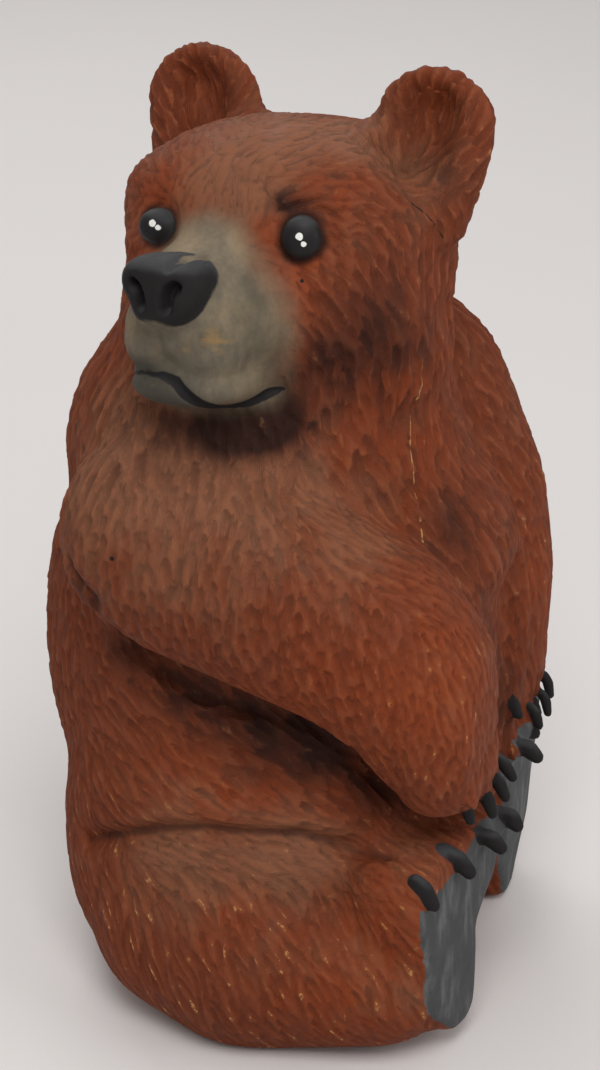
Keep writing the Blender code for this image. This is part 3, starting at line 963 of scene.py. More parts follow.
@dataclass(frozen=True)
class Soles:
    """The flat grey soles, right one first: where each plane stands and which way it faces.

    The paint covers what faces its plane by more than its share in facings, up to the tops,
    whose first row says where across the body and whose second how high. Near the floor it
    follows the rim's own share. Reach and sunk turn shares and depths into mm of paint.
    """

    packed_turn: float = PackedClaws.turn
    turns: tuple[float, float] = (13.0, 0.0)
    leans: tuple[float, float] = PackedClaws.leans
    points: tuple[Share, Share] = ((-0.150, -0.229, 0.0), (0.200, -0.2025, 0.0))
    turned_part: tuple[Fade, ...] = (
        Fade(Axis.ACROSS, 0.01, 0.05), Fade(Axis.BACK, -0.10, -0.18), Fade(Axis.UP, 0.285, 0.250),
    )
    turned_from: float = 0.05
    turned_to: float = 0.25
    pared_height: float = 0.262
    toe_bulge: float = 0.018
    toes: tuple[Fade, ...] = (Fade(Axis.UP, 0.185, 0.240), Fade(Axis.ACROSS, 0.190, 0.110))
    tops: tuple[tuple[float, ...], tuple[float, ...]] = (
        (-0.250, -0.200, -0.150, -0.110, -0.070, 0.000, 0.150),
        (0.214, 0.221, 0.236, 0.252, 0.268, 0.250, 0.246),
    )
    facings: tuple[float, float] = (0.66, 0.30)
    rim_facing: float = 0.66
    rim_height: float = 0.055
    eased: Fade = Fade(Axis.ACROSS, -0.165, -0.120)
    easing: float = 0.26
    inner_sides: tuple[float, float] = (0.020, 0.060)
    reach: float = 14.0
    sunk: float = 4.5
    sunk_reach: float = 1.2
    none: float = -20.0

    def turned(self, skin: Skin) -> None:
        """Turns the left foot's sole straight, pares both soles flat and rounds the left toes out.

        Args:
            skin: the rounded form.
        """
        spots = skin.spots()
        body = spots / HEIGHT
        slope = tan(radians(self.packed_turn)) - tan(radians(self.turns[1]))
        share = faded(body, self.turned_part)
        held = np.clip(body[:, 0], self.turned_from, self.turned_to)
        spots[:, 1] -= share * (held - self.points[1][0]) * slope * HEIGHT
        for side, way, point in self.planes():
            proud = (spots - point) @ way
            pared = (proud > 0.0) & (side * spots[:, 0] > 0.0) & (spots[:, 2] < self.pared_height * HEIGHT)
            spots[pared] -= way * proud[pared][:, None]
        spots[:, 1] -= share * faded(body, self.toes) * self.toe_bulge * HEIGHT
        skin.move(spots)

    def planes(self) -> list[tuple[int, np.ndarray, np.ndarray]]:
        """Sets the planes up.

        Returns:
            For each sole its side, the way it faces and a point on it.
        """
        found = []
        for side, point, turn, lean in zip((-1, 1), self.points, self.turns, self.leans):
            turned = Matrix.Rotation(side * radians(turn), 3, "Z") @ Matrix.Rotation(radians(lean), 3, "X")
            way = np.array(turned @ Vector((0.0, -1.0, 0.0)))
            found.append((side, way, np.array(at(point))))
        return found

    def edge(self, spots: np.ndarray, normals: np.ndarray) -> np.ndarray:
        """How far each spot is inside a sole's paint.

        Args:
            spots: places in metres.
            normals: the outward way at each, evened out.

        Returns:
            One rough distance in mm for each spot, above zero on a sole.
        """
        body = spots / HEIGHT
        found = np.full(len(spots), self.none)
        top = np.interp(body[:, 0], *self.tops)
        for (side, way, point), least, inner in zip(self.planes(), self.facings, self.inner_sides):
            least = np.where(body[:, 2] > self.rim_height, least, self.rim_facing)
            if side < 0:
                least = least - self.easing * faded(body, (self.eased,))
            facing = (normals @ way - least) * self.reach
            proud = (spots - point) @ way / MM
            inside = np.minimum(facing, self.sunk + proud * self.sunk_reach)
            inside = np.where(side * body[:, 0] > inner, inside, self.none)
            inside = np.minimum(inside, (top - body[:, 2]) * HEIGHT / MM)
            found = np.maximum(found, inside)
        return found


@dataclass(frozen=True)
class Fur:
    """Cuts the fur: where the gouge goes in, which way it runs and how deep.

    A patch's say reaches a share of the height. Cell and box, in metres, are the boxes that all
    spots and the kept ones are sorted into, thick is how far a cut goes through the skin. Wander
    and bow say how it strays and bends. The pairs are the least and most of its mark by lot.
    """

    pose: HeadPose = HeadPose()
    reach: float = 0.055
    blunt: float = 0.12
    wander: float = 0.17
    bow: float = 0.35
    bow_lot: float = 0.5
    cell: float = 0.008
    box: float = 0.0115
    thick: float = 0.006
    tries: int = 80000
    least: float = 0.03
    facing: float = 0.35
    sweeps: tuple[float, float] = (0.80, 1.20)
    depths: tuple[float, float] = (0.70, 1.25)
    lengths: tuple[float, float] = (0.75, 1.25)
    entry: float = 0.25
    entry_power: float = 0.8
    exit_power: float = 0.5
    fullness: float = 1.15
    search: float = 0.55

    def tufts(self) -> tuple[np.ndarray, np.ndarray, np.ndarray]:
        """Every patch on both sides.

        Returns:
            Their places in metres, their flows and their marks in metres, one row each.
        """
        places, flows, marks = [], [], []
        head = self.pose.matrix()
        for table, to_body in ((BODY_FUR, Matrix.Identity(4)), (HEAD_FUR, head)):
            for tuft in table:
                for side in (1, -1) if tuft.both else (1,):
                    places.append(to_body @ at(mirrored(tuft.place, side)))
                    flows.append((to_body.to_3x3() @ Vector(mirrored(tuft.flow, side))).normalized())
                    marks.append(tuft.mark.value)
        return np.array(places), np.array(flows), np.array(marks) * MM

    def combed(self, spots: np.ndarray, normals: np.ndarray) -> tuple[np.ndarray, np.ndarray]:
        """Which way the fur runs and which mark it has at each spot.

        Args:
            spots: places in metres.
            normals: the outward way at each.

        Returns:
            The flow, laid in the skin, and the mark's five lengths.
        """
        places, flows, marks = self.tufts()
        flow = np.zeros_like(spots)
        mark = np.zeros((len(spots), marks.shape[1]))
        total = np.zeros(len(spots))
        for place, way, kind in zip(places, flows, marks):
            gap = ((spots - place) ** 2).sum(axis=1) / (self.reach * HEIGHT) ** 2
            weight = 1.0 / (self.blunt + gap) ** 3
            flow += weight[:, None] * way
            mark += weight[:, None] * kind
            total += weight
        flow -= normals * (flow * normals).sum(axis=1)[:, None]
        flow /= np.linalg.norm(flow, axis=1)[:, None] + TINY
        return flow, mark / total[:, None]

    def hashed(self, spots: np.ndarray) -> dict[tuple[int, int, int], np.ndarray]:
        """Sorts spots into boxes so that a cut finds those near it.

        Args:
            spots: places in metres.

        Returns:
            The numbers of the spots in each box.
        """
        boxes = np.floor(spots / self.cell).astype(int)
        order = np.lexsort((boxes[:, 2], boxes[:, 1], boxes[:, 0]))
        ranked = boxes[order]
        starts = np.flatnonzero(np.any(np.diff(ranked, axis=0), axis=1)) + 1
        return {tuple(boxes[group[0]].tolist()): group for group in np.split(order, starts)}

    def near(
        self, boxes: dict[tuple[int, int, int], np.ndarray], spot: np.ndarray, reach: float,
    ) -> np.ndarray:
        """Finds the spots round a place.

        Args:
            boxes: what hashed() returned.
            spot: the place, in metres.
            reach: how far they may be from it each way.

        Returns:
            The numbers of the spots in all boxes within reach.
        """
        low = np.floor((spot - reach) / self.cell).astype(int)
        high = np.floor((spot + reach) / self.cell).astype(int)
        found = [
            boxes[key]
            for x in range(low[0], high[0] + 1)
            for y in range(low[1], high[1] + 1)
            for z in range(low[2], high[2] + 1)
            if (key := (x, y, z)) in boxes
        ]
        return np.concatenate(found) if found else np.empty(0, dtype=int)

    def spread(self, spots: np.ndarray, normals: np.ndarray, flow: np.ndarray, mark: np.ndarray) -> list[int]:
        """Keeps only spots that stand apart, as ovals along the fur.

        Args:
            spots: places in metres, in a chance order.
            normals: the outward way at each.
            flow: the fur's way at each.
            mark: the mark's lengths at each.

        Returns:
            The numbers of those kept.
        """
        taken: dict[tuple[int, int, int], list[int]] = {}
        side = np.cross(normals, flow)
        keys = np.floor(spots / self.box).astype(int).tolist()
        around = [(x, y, z) for x in (-1, 0, 1) for y in (-1, 0, 1) for z in (-1, 0, 1)]
        kept = []
        for index, (a, b, c) in enumerate(keys):
            rivals: list[int] = []
            for x, y, z in around:
                rivals += taken.get((a + x, b + y, c + z), ())
            if rivals:
                gap = spots[rivals] - spots[index]
                across = gap @ side[index] / mark[index, 3]
                along = gap @ flow[index] / mark[index, 4]
                deep = gap @ normals[index] / self.thick
                if (across * across + along * along + deep * deep).min() < 1.0:
                    continue
            taken.setdefault((a, b, c), []).append(index)
            kept.append(index)
        return kept

    def cut(self, spots: np.ndarray, normals: np.ndarray, amount: np.ndarray) -> tuple[np.ndarray, ...]:
        """Runs the gouge over the skin.

        Each cut goes in steeply under the lock above it and runs out along the fur, so that the
        tips of the locks stand proud.

        Args:
            spots: places in metres.
            normals: the outward way at each, evened out.
            amount: the share of the full depth at each.

        Returns:
            How deep the wood is cut away at each spot, how far to the side of its cut the spot
            is (both in metres), that as a share of the cut's half-width, how far along its cut the
            spot is, and a number from 0 to 1 that each cut draws by lot.
        """
        chance = np.random.default_rng(SEED)
        tried = chance.permutation(len(spots))[:self.tries]
        tried = tried[amount[tried] > self.least]
        flow, mark = self.combed(spots[tried], normals[tried])
        boxes = self.hashed(spots)
        depth = np.zeros(len(spots))
        aside = np.zeros(len(spots))
        edge = np.ones(len(spots))
        ran = np.ones(len(spots))
        lot = np.full(len(spots), 0.5)
        for index in self.spread(spots[tried], normals[tried], flow, mark):
            spot, normal = spots[tried[index]], normals[tried[index]]
            sweep = mark[index, 0] * chance.uniform(*self.sweeps)
            deepest = mark[index, 1] * chance.uniform(*self.depths) * amount[tried[index]]
            length = mark[index, 2] * chance.uniform(*self.lengths)
            turn = chance.normal(0.0, self.wander)
            side = np.cross(normal, flow[index])
            along = flow[index] * cos(turn) + side * sin(turn)
            across = np.cross(normal, along)
            near = self.near(boxes, spot, length * self.search)
            gap = spots[near] - spot
            run = gap @ along / length + 0.5
            wide = gap @ across + length * self.bow * chance.normal(0.0, self.bow_lot) * (run - 0.5) ** 2
            inside = (run > 0.0) & (run < 1.0) & (np.abs(gap @ normal) < self.thick)
            inside &= normals[near] @ normal > self.facing
            shaped = np.clip(run / self.entry, 0.0, 1.0) ** self.entry_power
            shaped *= np.clip(1.0 - run, 0.0, 1.0) ** self.exit_power
            floor = deepest * shaped * self.fullness
            trough = np.where(inside, floor - wide * wide / (2.0 * sweep), 0.0)
            deeper = trough > depth[near]
            won = near[deeper]
            depth[won] = trough[deeper]
            aside[won] = wide[deeper]
            edge[won] = np.abs(wide[deeper]) / np.sqrt(2.0 * sweep * floor[deeper] + TINY)
            ran[won] = run[deeper]
            lot[won] = chance.uniform()
        return depth, aside, edge, ran, lot


@dataclass(frozen=True)
class TintSpot:
    """A place where the paint is different, or where shade is painted: its middle, its reach and its
    strength.
    """

    place: Share
    reach: float
    strength: float


class Tint(Enum):
    """The paint's tints, each under the name of the number that the skin keeps for it; the dark one is dark
    paint and also painted shade.
    """

    DUSTY = "dusty"
    WARM = "warm"
    DARK = "dark"
    PALE = "pale"
    DRAB = "drab"
    OCHRE = "ochre"
    WORN = "rubbed"


HEAD_TINTS: dict[Tint, tuple[TintSpot, ...]] = {
    Tint.DUSTY: (
        TintSpot((0.020, -0.125, 0.075), 0.050, 0.75),
        TintSpot((0.000, -0.040, 0.125), 0.110, 0.85),
        TintSpot((0.110, -0.020, 0.105), 0.060, 0.75),
        TintSpot((0.150, 0.020, 0.050), 0.040, 0.35),
    ),
    Tint.WARM: (
        TintSpot((0.055, -0.130, 0.045), 0.030, 0.80),
        TintSpot((0.100, -0.125, -0.005), 0.028, 0.70),
        TintSpot((0.100, -0.090, 0.085), 0.050, 0.55),
        TintSpot((0.070, -0.110, 0.085), 0.030, 0.55),
        TintSpot((-0.090, -0.110, 0.000), 0.045, 0.70),
        TintSpot((-0.060, -0.110, 0.080), 0.050, 0.60),
        TintSpot((0.150, 0.000, -0.120), 0.070, 0.55),
        TintSpot((0.080, -0.112, -0.072), 0.032, 0.28),
        TintSpot((0.135, 0.040, 0.160), 0.040, 0.40),
        TintSpot((-0.135, 0.040, 0.160), 0.050, 0.40),
    ),
    # Dark paint on the cheeks, and painted shade under the chin, in the eye sockets and in the ears.
    Tint.DARK: (
        TintSpot((0.150, -0.060, -0.030), 0.050, 0.45),
        TintSpot((0.110, -0.100, -0.105), 0.045, 0.62),
        TintSpot((0.092, -0.106, -0.088), 0.028, 0.34),
        TintSpot((0.125, -0.095, -0.045), 0.045, 0.42),
        TintSpot((0.160, -0.010, -0.090), 0.060, 0.40),
        TintSpot((0.140, -0.050, -0.090), 0.035, 0.40),
        TintSpot((0.160, 0.020, 0.080), 0.040, 0.45),
        TintSpot((-0.150, 0.020, 0.080), 0.050, 0.45),
        TintSpot((0.025, -0.140, -0.160), 0.034, 1.40),
        TintSpot((0.065, -0.118, -0.152), 0.030, 1.40),
        TintSpot((-0.030, -0.140, -0.165), 0.036, 0.60),
        TintSpot((0.085, -0.130, 0.060), 0.016, 1.10),
        TintSpot((0.067, -0.128, 0.060), 0.013, 0.60),
        TintSpot((-0.085, -0.110, 0.060), 0.035, 0.30),
        TintSpot((0.100, -0.095, 0.082), 0.050, 0.44),
        TintSpot((0.045, -0.130, -0.150), 0.026, 1.00),
    ),
    Tint.PALE: (
        TintSpot((0.000, -0.135, 0.020), 0.045, 1.00),
        TintSpot((0.005, -0.170, 0.010), 0.040, 0.70),
    ),
    Tint.DRAB: (
        TintSpot((-0.020, -0.190, -0.125), 0.030, 1.00),
        TintSpot((0.020, -0.170, -0.135), 0.030, 0.90),
        TintSpot((-0.050, -0.190, -0.115), 0.030, 0.90),
        TintSpot((0.070, -0.125, -0.100), 0.030, 0.40),
        TintSpot((0.055, -0.150, -0.020), 0.025, 0.35),
        TintSpot((0.055, -0.150, -0.052), 0.030, 0.35),
    ),
    Tint.OCHRE: (
        TintSpot((0.034, -0.198, -0.060), 0.014, 0.85),
        TintSpot((0.048, -0.180, -0.068), 0.012, 0.55),
        TintSpot((0.014, -0.205, -0.074), 0.010, 0.45),
        TintSpot((0.050, -0.138, -0.118), 0.014, 0.55),
        TintSpot((-0.078, -0.130, -0.002), 0.010, 0.40),
    ),
    Tint.WORN: (
        TintSpot((0.182, 0.030, 0.110), 0.050, 0.60),
        TintSpot((0.170, 0.000, -0.080), 0.050, 0.25),
    ),
}

BODY_TINTS: dict[Tint, tuple[TintSpot, ...]] = {
    Tint.DUSTY: (
        TintSpot((-0.200, 0.040, 0.620), 0.120, 0.85),
        TintSpot((-0.190, -0.100, 0.600), 0.080, 0.60),
        TintSpot((-0.190, 0.130, 0.640), 0.100, 0.75),
        TintSpot((-0.230, 0.060, 0.226), 0.066, 1.05),
        TintSpot((-0.220, -0.060, 0.234), 0.066, 1.05),
        TintSpot((-0.190, -0.180, 0.250), 0.040, 0.60),
        TintSpot((0.200, -0.050, 0.620), 0.120, 0.50),
        TintSpot((0.120, 0.080, 0.680), 0.120, 0.65),
        TintSpot((-0.230, -0.170, 0.130), 0.070, 0.45),
        TintSpot((0.230, 0.000, 0.230), 0.090, 0.50),
    ),
    Tint.WARM: (
        TintSpot((-0.230, -0.200, 0.450), 0.090, 0.75),
        TintSpot((-0.240, -0.080, 0.440), 0.070, 0.60),
        TintSpot((-0.230, -0.190, 0.200), 0.060, 0.85),
        TintSpot((-0.240, -0.140, 0.110), 0.080, 0.80),
        TintSpot((-0.235, 0.010, 0.220), 0.050, 0.45),
        TintSpot((-0.220, 0.020, 0.300), 0.060, 0.75),
        TintSpot((-0.200, -0.090, 0.290), 0.050, 0.65),
        TintSpot((0.120, -0.220, 0.400), 0.130, 0.55),
        TintSpot((-0.240, -0.010, 0.190), 0.040, 0.45),
        TintSpot((-0.100, -0.130, 0.650), 0.070, 0.75),
    ),
    # Dark paint on the chest and neck, and painted shade under and between the arms, below the chin, along
    # the shoulder crease and by the glue line.
    Tint.DARK: (
        TintSpot((-0.190, -0.040, 0.355), 0.060, 0.95),
        TintSpot((-0.190, 0.070, 0.400), 0.050, 0.75),
        TintSpot((-0.175, -0.140, 0.300), 0.042, 0.95),
        TintSpot((-0.185, -0.090, 0.350), 0.036, 0.70),
        TintSpot((-0.185, 0.020, 0.375), 0.040, 0.40),
        TintSpot((-0.225, 0.150, 0.500), 0.032, 0.70),
        TintSpot((-0.180, 0.135, 0.425), 0.035, 0.75),
        TintSpot((-0.180, 0.100, 0.670), 0.070, 0.38),
        TintSpot((-0.110, -0.120, 0.650), 0.060, 0.48),
        TintSpot((-0.080, -0.190, 0.560), 0.055, 0.72),
        TintSpot((-0.055, -0.215, 0.470), 0.032, 0.35),
        TintSpot((-0.030, -0.215, 0.400), 0.040, 0.50),
        TintSpot((-0.010, -0.215, 0.320), 0.045, 0.50),
        TintSpot((0.060, -0.200, 0.520), 0.050, 0.38),
        TintSpot((0.060, -0.190, 0.300), 0.120, 0.60),
        TintSpot((0.190, -0.040, 0.350), 0.070, 0.70),
        TintSpot((-0.200, 0.140, 0.225), 0.035, 0.45),
    ),
    Tint.WORN: (
        TintSpot((-0.230, -0.215, 0.420), 0.070, 0.75),
        TintSpot((0.200, -0.210, 0.430), 0.120, 0.65),
        TintSpot((0.150, 0.100, 0.600), 0.100, 0.35),
    ),
}


class Nodes:
    """Builds a material's nodes by short calls."""

    def __init__(self, name: str) -> None:
        """Starts a material with its shader alone.

        Args:
            name: the material's name.
        """
        self.material = bpy.data.materials.new(name)
        self.material.use_nodes = True
        self.tree = self.material.node_tree
        self.shader = self.tree.nodes["Principled BSDF"]

    def put(self, socket: Socket, value: object) -> None:
        """Links a socket, or sets its own value.

        Args:
            socket: where the value goes in.
            value: another node's socket, or a plain value.
        """
        if isinstance(value, Socket):
            self.tree.links.new(value, socket)
        else:
            socket.default_value = value

    def noted(self, name: str) -> Socket:
        """Reads a number that is kept on the skin.

        Args:
            name: the name that it is kept under.

        Returns:
            The number.
        """
        node = self.tree.nodes.new("ShaderNodeAttribute")
        node.attribute_name = name
        return node.outputs["Fac"]

    def place(self) -> Socket:
        """The place on the object."""
        return self.tree.nodes.new("ShaderNodeTexCoord").outputs["Object"]

    def math(
        self, kind: str, first: object, second: object = 0.0, clamp: bool = False,
    ) -> Socket:
        """One sum of two values.

        Args:
            kind: Blender's name for it.
            first: a socket or a number.
            second: a socket or a number.
            clamp: whether the result stays from 0 to 1.

        Returns:
            The result.
        """
        node = self.tree.nodes.new("ShaderNodeMath")
        node.operation = kind
        node.use_clamp = clamp
        self.put(node.inputs[0], first)
        self.put(node.inputs[1], second)
        return node.outputs[0]

    def times(self, first: object, second: object) -> Socket:
        """The product of two values."""
        return self.math("MULTIPLY", first, second)

    def ramp(
        self, value: object, low: float, high: float, start: float = 0.0, end: float = 1.0,
    ) -> Socket:
        """Runs smoothly from start to end while value goes from low to high.

        Args:
            value: what is measured.
            low: where the run starts.
            high: where it ends.
            start: the result up to low.
            end: the result from high on.

        Returns:
            The result.
        """
        node = self.tree.nodes.new("ShaderNodeMapRange")
        node.interpolation_type = "SMOOTHSTEP"
        self.put(node.inputs["Value"], value)
        self.put(node.inputs["From Min"], low)
        self.put(node.inputs["From Max"], high)
        self.put(node.inputs["To Min"], start)
        self.put(node.inputs["To Max"], end)
        return node.outputs["Result"]

    def stretched(self, scale: Share) -> Socket:
        """Stretches the place on the object.

        Args:
            scale: how much, each way.

        Returns:
            The stretched place.
        """
        node = self.tree.nodes.new("ShaderNodeMapping")
        self.put(node.inputs["Vector"], self.place())
        node.inputs["Scale"].default_value = scale
        return node.outputs[0]

    def noise(
        self, scale: float, detail: float = 3.0, where: object = None, rough: float = 0.55,
    ) -> Socket:
        """Cloudy variation from 0 to 1.

        Args:
            scale: how many clouds to a metre.
            detail: how many finer layers.
            where: stretched places, if not the object's own.
            rough: how strong the finer layers are.

        Returns:
            The variation.
        """
        node = self.tree.nodes.new("ShaderNodeTexNoise")
        self.put(node.inputs["Vector"], where if where is not None else self.place())
        node.inputs["Scale"].default_value = scale
        node.inputs["Detail"].default_value = detail
        node.inputs["Roughness"].default_value = rough
        return node.outputs["Fac"]

    def mix(self, share: object, under: object, over: object) -> Socket:
        """Lays one colour over another.

        Args:
            share: how much of the upper one shows.
            under: the lower colour.
            over: the upper colour.

        Returns:
            The colour that shows.
        """
        node = self.tree.nodes.new("ShaderNodeMix")
        node.data_type = "RGBA"
        self.put(node.inputs["Factor"], share)
        self.put(node.inputs[6], under)
        self.put(node.inputs[7], over)
        return node.outputs[2]

    def vector(self, kind: str, first: object, second: object) -> bpy.types.Node:
        """One sum of two places or ways.

        Args:
            kind: Blender's name for it.
            first: a socket or a vector.
            second: a socket or a vector.

        Returns:
            The node that holds the result.
        """
        node = self.tree.nodes.new("ShaderNodeVectorMath")
        node.operation = kind
        self.put(node.inputs[0], first)
        self.put(node.inputs[1], second)
        return node

    def gap(self, first: object, second: object) -> Socket:
        """The distance between two places, in mm."""
        return self.times(self.vector("DISTANCE", first, second).outputs["Value"], 1.0 / MM)

    def line_gap(self, here: Vector, there: Vector) -> Socket:
        """Measures to a straight line between two places on the object.

        Args:
            here: one end, in metres.
            there: the other end.

        Returns:
            The distance in mm.
        """
        along = there - here
        start = self.vector("SUBTRACT", self.place(), here).outputs[0]
        share = self.vector("DOT_PRODUCT", start, along / along.length_squared).outputs["Value"]
        foot = self.tree.nodes.new("ShaderNodeVectorMath")
        foot.operation = "SCALE"
        foot.inputs[0].default_value = along
        self.put(foot.inputs["Scale"], self.math("ADD", share, 0.0, clamp=True))
        return self.gap(start, foot.outputs[0])

    def swayed(self, value: object, noise: object, reach: float) -> Socket:
        """A value moved up and down by cloudy variation, by half of reach at most."""
        return self.math("ADD", value, self.times(self.math("SUBTRACT", noise, 0.5), reach))

    def bump(self, height: object, strength: float, reach: float) -> Socket:
        """Turns a height into fine relief.

        Args:
            height: a socket.
            strength: from 0 to 1.
            reach: how far 1 stands out, in metres.

        Returns:
            The bent normal.
        """
        node = self.tree.nodes.new("ShaderNodeBump")
        node.inputs["Strength"].default_value = strength
        node.inputs["Distance"].default_value = reach
        self.put(node.inputs["Height"], height)
        return node.outputs[0]


class PaintNodes(Nodes):
    """The paint's nodes, with the variation that most of it is broken up by."""

    def __init__(self) -> None:
        """Starts the paint: wide clouds, narrower patches and fine specks."""
        super().__init__("painted_wood")
        self.cloud = self.noise(34.0, 4.0)
        self.patchy = self.noise(90.0, 4.0)
        self.speck = self.noise(420.0, 3.0)


@dataclass(frozen=True)
class Dots:
    """Small round and thin marks: white dots painted on the eyes, pin holes and a crack painted black as
    painted shade inside them, and the glue line; the round ones each with its half-size in mm.
    """

    glints: list[tuple[Vector, float]]
    pins: list[tuple[Vector, float]]
    cracks: list[Line]
    seams: list[Line]


@dataclass(frozen=True)
class PaintedWood:
    """Brown paint brushed thinly on cut wood, with grey and black on the face, soles and claws, and painted
    shade and painted highlights laid into the fur.

    The half-widths of the seam and the crack are in mm, the height of the fine relief in metres.
    """

    fur: Colour = (0.162, 0.036, 0.013, 1.0)
    fur_red: Colour = (0.215, 0.040, 0.010, 1.0)
    fur_dusty: Colour = (0.205, 0.084, 0.044, 1.0)
    # Lighter fur for the painted highlight on the tips of the locks and on the ridges.
    fur_light: Colour = (0.285, 0.092, 0.040, 1.0)
    # Darkest fur: dark paint, and painted shade in the creases, the hollows, the eye sockets and under the
    # chin and arms.
    fur_dark: Colour = (0.022, 0.007, 0.0045, 1.0)
    raw: Colour = (0.560, 0.290, 0.100, 1.0)
    muzzle: Colour = (0.160, 0.125, 0.078, 1.0)
    muzzle_cool: Colour = (0.112, 0.101, 0.082, 1.0)
    muzzle_brown: Colour = (0.150, 0.070, 0.042, 1.0)
    muzzle_pale: Colour = (0.250, 0.188, 0.120, 1.0)
    muzzle_drab: Colour = (0.060, 0.055, 0.043, 1.0)
    ochre: Colour = (0.330, 0.190, 0.060, 1.0)
    sole: Colour = (0.062, 0.064, 0.067, 1.0)
    sole_light: Colour = (0.120, 0.122, 0.124, 1.0)
    black: Colour = (0.0135, 0.0125, 0.0130, 1.0)
    # Greyer black for upward faces: dust and a painted highlight.
    black_dust_and_highlight: Colour = (0.058, 0.060, 0.064, 1.0)
    glint: Colour = (0.780, 0.780, 0.740, 1.0)
    glue: Colour = (0.420, 0.210, 0.070, 1.0)
    seam_half: float = 0.55
    crack_half: float = 0.40
    roughness: tuple[float, float] = (0.62, 0.80)
    eye_gloss: float = 0.22
    specular: float = 0.14
    relief_height: float = 0.0007

    def furred(self, nodes: PaintNodes) -> Socket:
        """The browns of the fur: red and dusty zones, each cut a little different, and a painted highlight on
        the tips of the locks and on the ridges.

        Args:
            nodes: the paint's nodes.

        Returns:
            The colour.
        """
        crest, lot, ran = nodes.noted("crest"), nodes.noted("lot"), nodes.noted("ran")
        warm = nodes.swayed(nodes.swayed(nodes.noted("warm"), nodes.patchy, 1.1), lot, 0.35)
        colour = nodes.mix(nodes.ramp(warm, 0.0, 0.9, 0.05, 0.95), self.fur, self.fur_red)
        dusty = nodes.swayed(nodes.swayed(nodes.noted("dusty"), nodes.cloud, 1.3), lot, 0.30)
        colour = nodes.mix(nodes.ramp(dusty, 0.05, 1.05, 0.0, 0.90), colour, self.fur_dusty)
        # A painted highlight on the tips of the locks and on the ridges.
        tip = nodes.times(nodes.ramp(ran, 0.45, 1.00), nodes.ramp(nodes.cloud, 0.30, 0.65, 0.06, 0.28))
        ridge = nodes.ramp(nodes.patchy, 0.30, 0.60, 0.10, 0.38)
        ridge = nodes.times(nodes.ramp(crest, 0.05, 0.50), ridge)
        return nodes.mix(nodes.math("MAXIMUM", tip, ridge), colour, self.fur_light)

    def shaded(self, nodes: PaintNodes, colour: object) -> Socket:
        """Darkens the fur: dark paint and painted shade where the dark tint shows, painted shadow at the
        starts of the cuts, dark paint and painted shade in their hollows, and painted shade in the creases.

        Args:
            nodes: the paint's nodes.
            colour: the browns.

        Returns:
            The colour.
        """
        lot = nodes.noted("lot")
        # Dark paint, and painted shade under the chin, under and between the arms, in the sockets and the
        # ears.
        tinted = nodes.swayed(nodes.swayed(nodes.noted("dark"), nodes.cloud, 0.6), lot, 0.40)
        colour = nodes.mix(nodes.ramp(tinted, 0.05, 1.3, 0.0, 0.985), colour, self.fur_dark)
        # Painted shadow at the start of each cut, under the tip of the lock above it.
        start = nodes.ramp(nodes.noted("edge"), 1.0, 0.45)
        start = nodes.times(nodes.ramp(nodes.noted("ran"), 0.50, 0.12), start)
        start = nodes.times(start, nodes.ramp(nodes.patchy, 0.25, 0.65, 0.10, 0.36))
        # Darker in the hollows of the cuts: dark paint gathered there, and painted shade.
        sunk = nodes.times(nodes.ramp(nodes.noted("crest"), 0.00, -0.60), 0.28)
        colour = nodes.mix(nodes.math("MAXIMUM", start, sunk), colour, self.fur_dark)
        colour = nodes.mix(nodes.ramp(lot, 0.50, 1.0, 0.0, 0.17), colour, self.fur_dark)
        # Painted shade in the creases.
        crease = nodes.ramp(nodes.swayed(nodes.noted("crease"), nodes.patchy, 3.0), 3.6, 0.8, 0.0, 0.62)
        return nodes.mix(crease, colour, self.fur_dark)

    def rubbed(self, nodes: PaintNodes, colour: object) -> Socket:
        """The raw wood on the ridges between the cuts, where the paint is rubbed off.

        Args:
            nodes: the paint's nodes.
            colour: the fur's paint.

        Returns:
            The colour.
        """
        ridge = nodes.ramp(nodes.noted("crest"), 0.06, 0.20)
        ridge = nodes.times(nodes.ramp(nodes.noted("edge"), 0.86, 0.96), ridge)
        worn = nodes.times(ridge, nodes.ramp(nodes.noise(120.0, 2.0), 0.56, 0.62))
        worn = nodes.times(worn, nodes.ramp(nodes.noise(420.0, 2.0), 0.46, 0.58, 0.10, 0.8))
        return nodes.mix(nodes.times(worn, nodes.noted("worn")), colour, self.raw)

